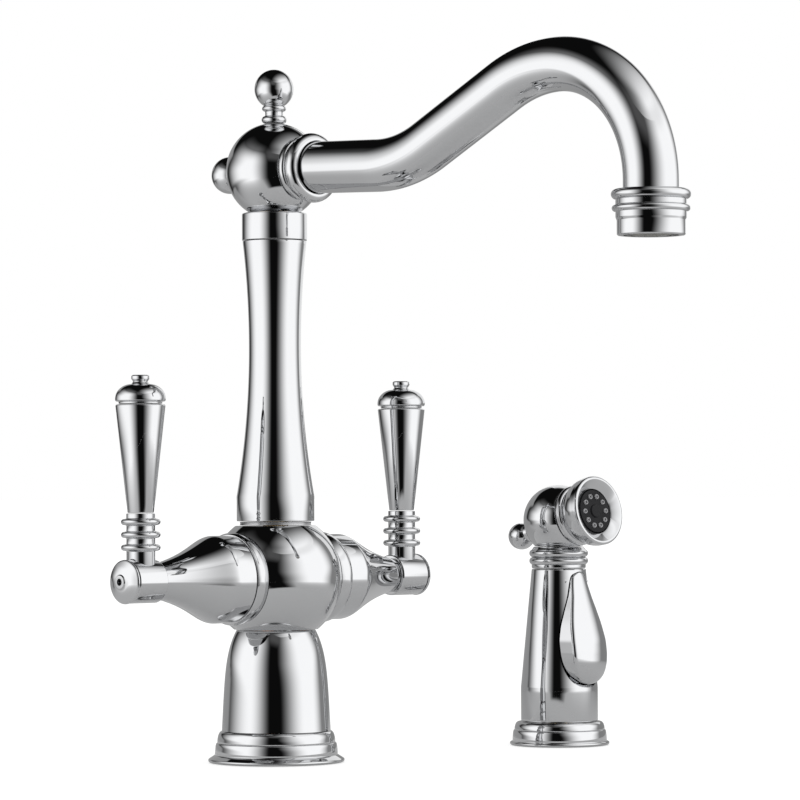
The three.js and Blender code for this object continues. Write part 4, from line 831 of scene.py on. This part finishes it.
WAND_BALL = 18.15
WAND_FOOT_FLAT = 12.2
FRONT = flat(WAND_BALL, 14.5)
REAR = flat(WAND_BALL, 4.4)
tilt = math.radians(10.4)
drop = math.radians(18)
head_way = (0, -math.cos(tilt), math.sin(tilt))
knob_way = (0, math.cos(drop), -math.sin(drop))
ball_centre = at(SPRAY_X, SPRAY_Y, NECK_TOP + GAP + flat(WAND_BALL, WAND_FOOT_FLAT))
head = ball_centre @ toward(*head_way)
ball_with_flats("wand_ball_form", WAND_BALL, WAND_FOOT_FLAT, 0.5,
                [(head_way, FRONT), (knob_way, REAR)],
                ball_centre, "spray_wand", ["wand_ball"])
turned("wand_knob_form",
       [(0, REAR + GAP), (4.1, REAR + GAP),
        *knob(6.95, 4.4, REAR + 9.9, 5)],
       ball_centre @ toward(*knob_way), "spray_wand", ["wand_knob"], turns=SMALL_TURNS)

# Out along the head.
HEAD = FRONT + GAP
BELL = HEAD + 4.9
BELL_END = BELL + 13
BELL_BORE = 10
FACE = BELL_END - 3
FACE_RADIUS = 11.1
flare = [(14.3 + 3.5 * math.sin(t * math.pi / 2) ** 0.9, BELL + 9.4 * t)
         for t in np.linspace(0, 1, 24)]
rim = arc(16.6, BELL_END - 1.3, 1.3, 0, 115, 6)
turned("spray_bell_form",
       [(WAND_BORE, HEAD), (14, HEAD), *bead(15.6, HEAD + 2.45, 2.1, 80), *flare,
        (17.85, BELL_END - 2.6), *rim, (13.6, BELL_END - 1.75), (12.3, BELL_END - 2.6),
        (11.6, BELL_END - 3.2), (11.4, BELL_END - 6.3), (BELL_BORE, BELL_END - 6.3)],
       head, "spray_wand", ["spray_bell"])
turned("spray_face_form",
       [(0, FACE - 3), (FACE_RADIUS, FACE - 3), (FACE_RADIUS, FACE), (0, FACE)],
       head, "spray_wand", ["spray_face"], material=RUBBER, slot="rubber", turns=SMALL_TURNS)

NOZZLES = 10
NOZZLE_CIRCLE = 7.8
nozzle_ring = [(0.6, FACE - 0.1), (1.35, FACE - 0.1), (1.3, FACE + 0.45), (1.12, FACE + 0.75),
               (0.92, FACE + 0.8), (0.72, FACE + 0.7), (0.6, FACE + 0.4)]
nozzles = []
for k in range(NOZZLES):
    angle = 2 * math.pi * k / NOZZLES
    verts, faces = spin(nozzle_ring, 32)
    verts += (NOZZLE_CIRCLE * math.cos(angle), NOZZLE_CIRCLE * math.sin(angle), 0)
    nozzles.append((verts, faces))
verts, faces = joined(nozzles)
piece("spray_nozzles", moved(verts, head), faces, NOZZLE, "spray_wand", [], slot="rubber")
turned("spray_face_boss",
       [(0, FACE), (3.6, FACE), (3.1, FACE + 0.7), (0, FACE + 0.7)],
       head, "spray_wand", [], material=RUBBER, slot="rubber", turns=64)

# ---------------------------------------------------------------- light tent

# A light tent of glowing sheets stands round the object: only the chrome sees it, as painted
# reflections, and diffuse surfaces see the plain world. Bearings are in degrees to the right
# of the way from the object to the camera, and lengths in metres.
scene = bpy.context.scene
TENT_HEIGHT = 1.0
TENT_RADIUS = 0.85
TENT_CENTRE = Vector((0.04, -0.08, 0))
CAMERA_BEARING = -135   # of the camera, about the tent's centre
BOX_GLOW = 1.41         # the two softboxes
CARD_GLOW = 0.37        # the grey card behind the left one, glowing as painted light
SIDE_GLOW = 0.8 * CARD_GLOW     # the card behind the right one, also painted light
CANOPY_GLOW = 1.35      # the bright side of the canopy overhead, painted light
GAP_GLOW = 0.1          # grey cloth high up in the front gap, a faint painted glow
FLAG_GLOW = 0.005       # black cloth: the dark parts of the painted reflections
PAINTED_FLOOR_GLOW = 0.55       # the paper floor inside the tent, a painted reflection of the lit floor
PAINTED_FLOOR_SHADE = 0.13      # painted shade, by which the paper at the back left is darker
APRON_START = 0.25      # the tent's glowing cloth lies on the floor from here on out
APRON_DROP = 0.0002     # and this far under the object's feet
FLAG_FOOT = 0.2         # the backdrop shows between these heights
FLAG_TOP = 0.66
FLAG_BEARING = 140      # from this bearing on
WALL_ROWS = 50
APRON_ROWS = 30
COLUMNS = 180           # round the tent

# Pairs of bearings or heights, from where a sheet is dark to where it is fully lit.
LEFT_NEAR = 17, 61
LEFT_FAR = 128, 60
LEFT_FAR_TURN = 13, 25  # further round by this off the floor
LEFT_TOP = 1.15, 0.5
RIGHT_NEAR = 5, 65
RIGHT_NEAR_LEAN = 8, 6  # nearer by this higher up
RIGHT_FAR = 131, 88
RIGHT_FAR_LEAN = 11, 12     # and further round by this
CARD_NEAR = 110, 124
CARD_TURN = 27          # further round by this off the floor
CARD_TOP = 0.6, 0.54
SIDE_NEAR = 100, 112
SIDE_TOP = 0.9, 0.7
GAP_FOOT = 0.5, 0.8
GAP_SIDES = 50, 15      # to both sides of the gap's middle
GAP_MIDDLE = 3


def ease(value, start, end):
    """0 up to start, 1 from end on, eased in between."""
    t = min(max((value - start) / (end - start), 0.0), 1.0)
    return t * t * (3 - 2 * t)


def tent_radius(bearing):
    """The tent is wider at the front right and narrower behind."""
    return (TENT_RADIUS + 0.1 * ease(bearing, -15, 15) - 0.25 * ease(bearing, 110, 150)
            - 0.15 * ease(-bearing, 125, 150))


def tent_point(bearing, radius, height):
    angle = math.radians(bearing + CAMERA_BEARING)
    return TENT_CENTRE + Vector((radius * math.cos(angle), radius * math.sin(angle), height))


def wall_glow(bearing, height):
    """The brightest of the sheets that stand at a place of the wall."""
    lean = ease(height, 0.05, 0.32)
    turn = ease(height, 0.05, 0.16) * (1 - 0.6 * ease(height, 0.3, 0.55))
    left = (ease(-bearing, *LEFT_NEAR) * ease(height, *LEFT_TOP)
            * ease(-bearing, LEFT_FAR[0] + LEFT_FAR_TURN[0] * turn,
                   LEFT_FAR[1] + LEFT_FAR_TURN[1] * turn))
    right = (ease(bearing, RIGHT_NEAR[0] - RIGHT_NEAR_LEAN[0] * lean,
                  RIGHT_NEAR[1] - RIGHT_NEAR_LEAN[1] * lean)
             * ease(bearing, RIGHT_FAR[0] + RIGHT_FAR_LEAN[0] * lean,
                    RIGHT_FAR[1] + RIGHT_FAR_LEAN[1] * lean)
             * (1 - 0.15 * ease(height, 0.75, 1)))
    card = (ease(-bearing, CARD_NEAR[0] + CARD_TURN * turn, CARD_NEAR[1] + CARD_TURN * turn)
            * ease(height, *CARD_TOP))
    side = ease(bearing, *SIDE_NEAR) * ease(height, *SIDE_TOP)
    gap = ease(height, *GAP_FOOT) * ease(abs(bearing - GAP_MIDDLE), *GAP_SIDES)
    return max(BOX_GLOW * left, BOX_GLOW * right, CARD_GLOW * card, SIDE_GLOW * side,
               GAP_GLOW * gap, FLAG_GLOW)


def canopy_glow(bearing, radius):
    """The canopy is lit on its right, less so in front and at its edge."""
    front = ease(bearing, 50, -5) * ease(radius, 0.3, 0.65)
    lit = ease(radius * math.cos(math.radians(bearing - 65)), -0.08, 0.72) * (1 - 0.62 * front)
    lit *= 1 - 0.12 * ease(radius, 0.65, 0.85)
    left = wall_glow(bearing, TENT_HEIGHT) if bearing < 0 else 0
    return max(CANOPY_GLOW * lit, left * ease(radius, 0.4, tent_radius(bearing)), FLAG_GLOW)


def painted_apron_glow(bearing, radius):
    """The glowing cloth on the floor, a painted reflection of the lit floor, goes over from the
    paper to the wall; the paper carries painted shade at the back left.
    """
    wall = wall_glow(bearing, 0)
    out = (radius - APRON_START) / (tent_radius(bearing) - APRON_START)
    # painted shade: the painted paper is darker at the back left
    paper = PAINTED_FLOOR_GLOW - PAINTED_FLOOR_SHADE * ease(-bearing, 110, 140)
    if wall < paper and abs(bearing) < 90:
        return paper + (wall - paper) * ease(radius, 0.28, 0.33)
    return paper + (wall - paper) * out ** 1.7


def sheet(name, rows, place, glow, keep=lambda bearing, i: True):
    """A grid of the tent, with its glow at each corner. Both are found from the bearing and
    the row."""
    bearings = [-180 + 360 * j / COLUMNS for j in range(COLUMNS + 1)]
    corners = [(bearing, i) for i in range(rows + 1) for bearing in bearings]
    across = COLUMNS + 1
    faces = [(i * across + j, i * across + j + 1, (i + 1) * across + j + 1, (i + 1) * across + j)
             for i in range(rows) for j in range(COLUMNS) if keep(bearings[j], i)]
    made = new_object(name, [place(*corner) for corner in corners], faces)
    values = [glow(*corner) for corner in corners]
    made.data.attributes.new("glow", "FLOAT", "POINT").data.foreach_set("value", values)
    material = bpy.data.materials.new(name)
    material.use_nodes = True
    tree = material.node_tree
    tree.nodes.clear()
    attribute = tree.nodes.new("ShaderNodeAttribute")
    attribute.attribute_name = "glow"
    emission = tree.nodes.new("ShaderNodeEmission")
    output = tree.nodes.new("ShaderNodeOutputMaterial")
    tree.links.new(attribute.outputs["Fac"], emission.inputs["Strength"])
    tree.links.new(emission.outputs["Emission"], output.inputs["Surface"])
    made.data.materials.append(material)
    made.visible_camera = False
    made.visible_diffuse = False
    made.visible_shadow = False


def height_at(i):
    return TENT_HEIGHT * i / WALL_ROWS


def canopy_radius(bearing, i):
    return tent_radius(bearing) * i / WALL_ROWS


def apron_radius(bearing, i):
    return APRON_START + (tent_radius(bearing) - APRON_START) * i / APRON_ROWS


sheet("tent_wall", WALL_ROWS,
      lambda bearing, i: tent_point(bearing, tent_radius(bearing), height_at(i)),
      lambda bearing, i: wall_glow(bearing, height_at(i)),
      lambda bearing, i: bearing < FLAG_BEARING or not FLAG_FOOT <= height_at(i) < FLAG_TOP)
sheet("tent_canopy", WALL_ROWS,
      lambda bearing, i: tent_point(bearing, canopy_radius(bearing, i), TENT_HEIGHT),
      lambda bearing, i: canopy_glow(bearing, canopy_radius(bearing, i)))
# This sheet paints the lit floor in the chrome's reflections.
sheet("tent_apron_painted_floor", APRON_ROWS,
      lambda bearing, i: tent_point(bearing, apron_radius(bearing, i), -APRON_DROP),
      lambda bearing, i: painted_apron_glow(bearing, apron_radius(bearing, i)))

# ---------------------------------------------------------------- floor and world

FLOOR_HALF = 40
FLOOR_DROP = 0.0003
PAPER = 0.46            # the floor's colour
SEEN = 0.66             # added for the camera, so that the floor shows white
MIRRORED = 0.1          # added in the metal's reflections


def path_level(tree, camera, mirror):
    """A strength for camera rays and one for glossy and transmission rays, 0 for the rest."""
    path = tree.nodes.new("ShaderNodeLightPath")
    result = None
    for output, level in (("Is Camera Ray", camera), ("Is Glossy Ray", mirror),
                          ("Is Transmission Ray", mirror)):
        node = tree.nodes.new("ShaderNodeMath")
        node.operation = "MULTIPLY"
        node.inputs[1].default_value = level
        tree.links.new(path.outputs[output], node.inputs[0])
        if result is None:
            result = node.outputs["Value"]
            continue
        larger = tree.nodes.new("ShaderNodeMath")
        larger.operation = "MAXIMUM"
        tree.links.new(result, larger.inputs[0])
        tree.links.new(node.outputs["Value"], larger.inputs[1])
        result = larger.outputs["Value"]
    return result


floor = new_object("studio_floor", [(x * FLOOR_HALF, y * FLOOR_HALF, -FLOOR_DROP)
                                    for x, y in ((-1, -1), (1, -1), (1, 1), (-1, 1))],
                   [(0, 1, 2, 3)])
material, tree, shader = principled("floor_paper", (PAPER, PAPER, PAPER), 0, 0.9)
shader.inputs["Specular IOR Level"].default_value = 0.0
shader.inputs["Emission Color"].default_value = (1, 1, 1, 1)
tree.links.new(path_level(tree, SEEN, MIRRORED), shader.inputs["Emission Strength"])
floor.data.materials.append(material)

world = bpy.data.worlds.new("studio")
scene.world = world
world.use_nodes = True
background = world.node_tree.nodes["Background"]
background.inputs["Color"].default_value = (1, 1, 1, 1)
background.inputs["Strength"].default_value = 1.0

# ---------------------------------------------------------------- camera

CAMERA_PLACE = -1.2544, -1.3406, 0.132
HEADING = math.radians(45)      # the way it looks, from +X towards +Y
PITCH = math.radians(1.371)
ROLL = math.radians(-0.25)

camera_data = bpy.data.cameras.new("camera")
camera_data.sensor_width = 36
camera_data.lens = 169.2
camera_data.clip_end = 100
camera = bpy.data.objects.new("camera", camera_data)
scene.collection.objects.link(camera)
look = Vector((math.cos(PITCH) * math.cos(HEADING), math.cos(PITCH) * math.sin(HEADING),
               math.sin(PITCH)))
camera.rotation_mode = "QUATERNION"
camera.matrix_world = (Matrix.Translation(CAMERA_PLACE)
                       @ look.to_track_quat("-Z", "Y").to_matrix().to_4x4()
                       @ Matrix.Rotation(ROLL, 4, "Z"))
scene.camera = camera
scene.view_settings.view_transform = "Standard"
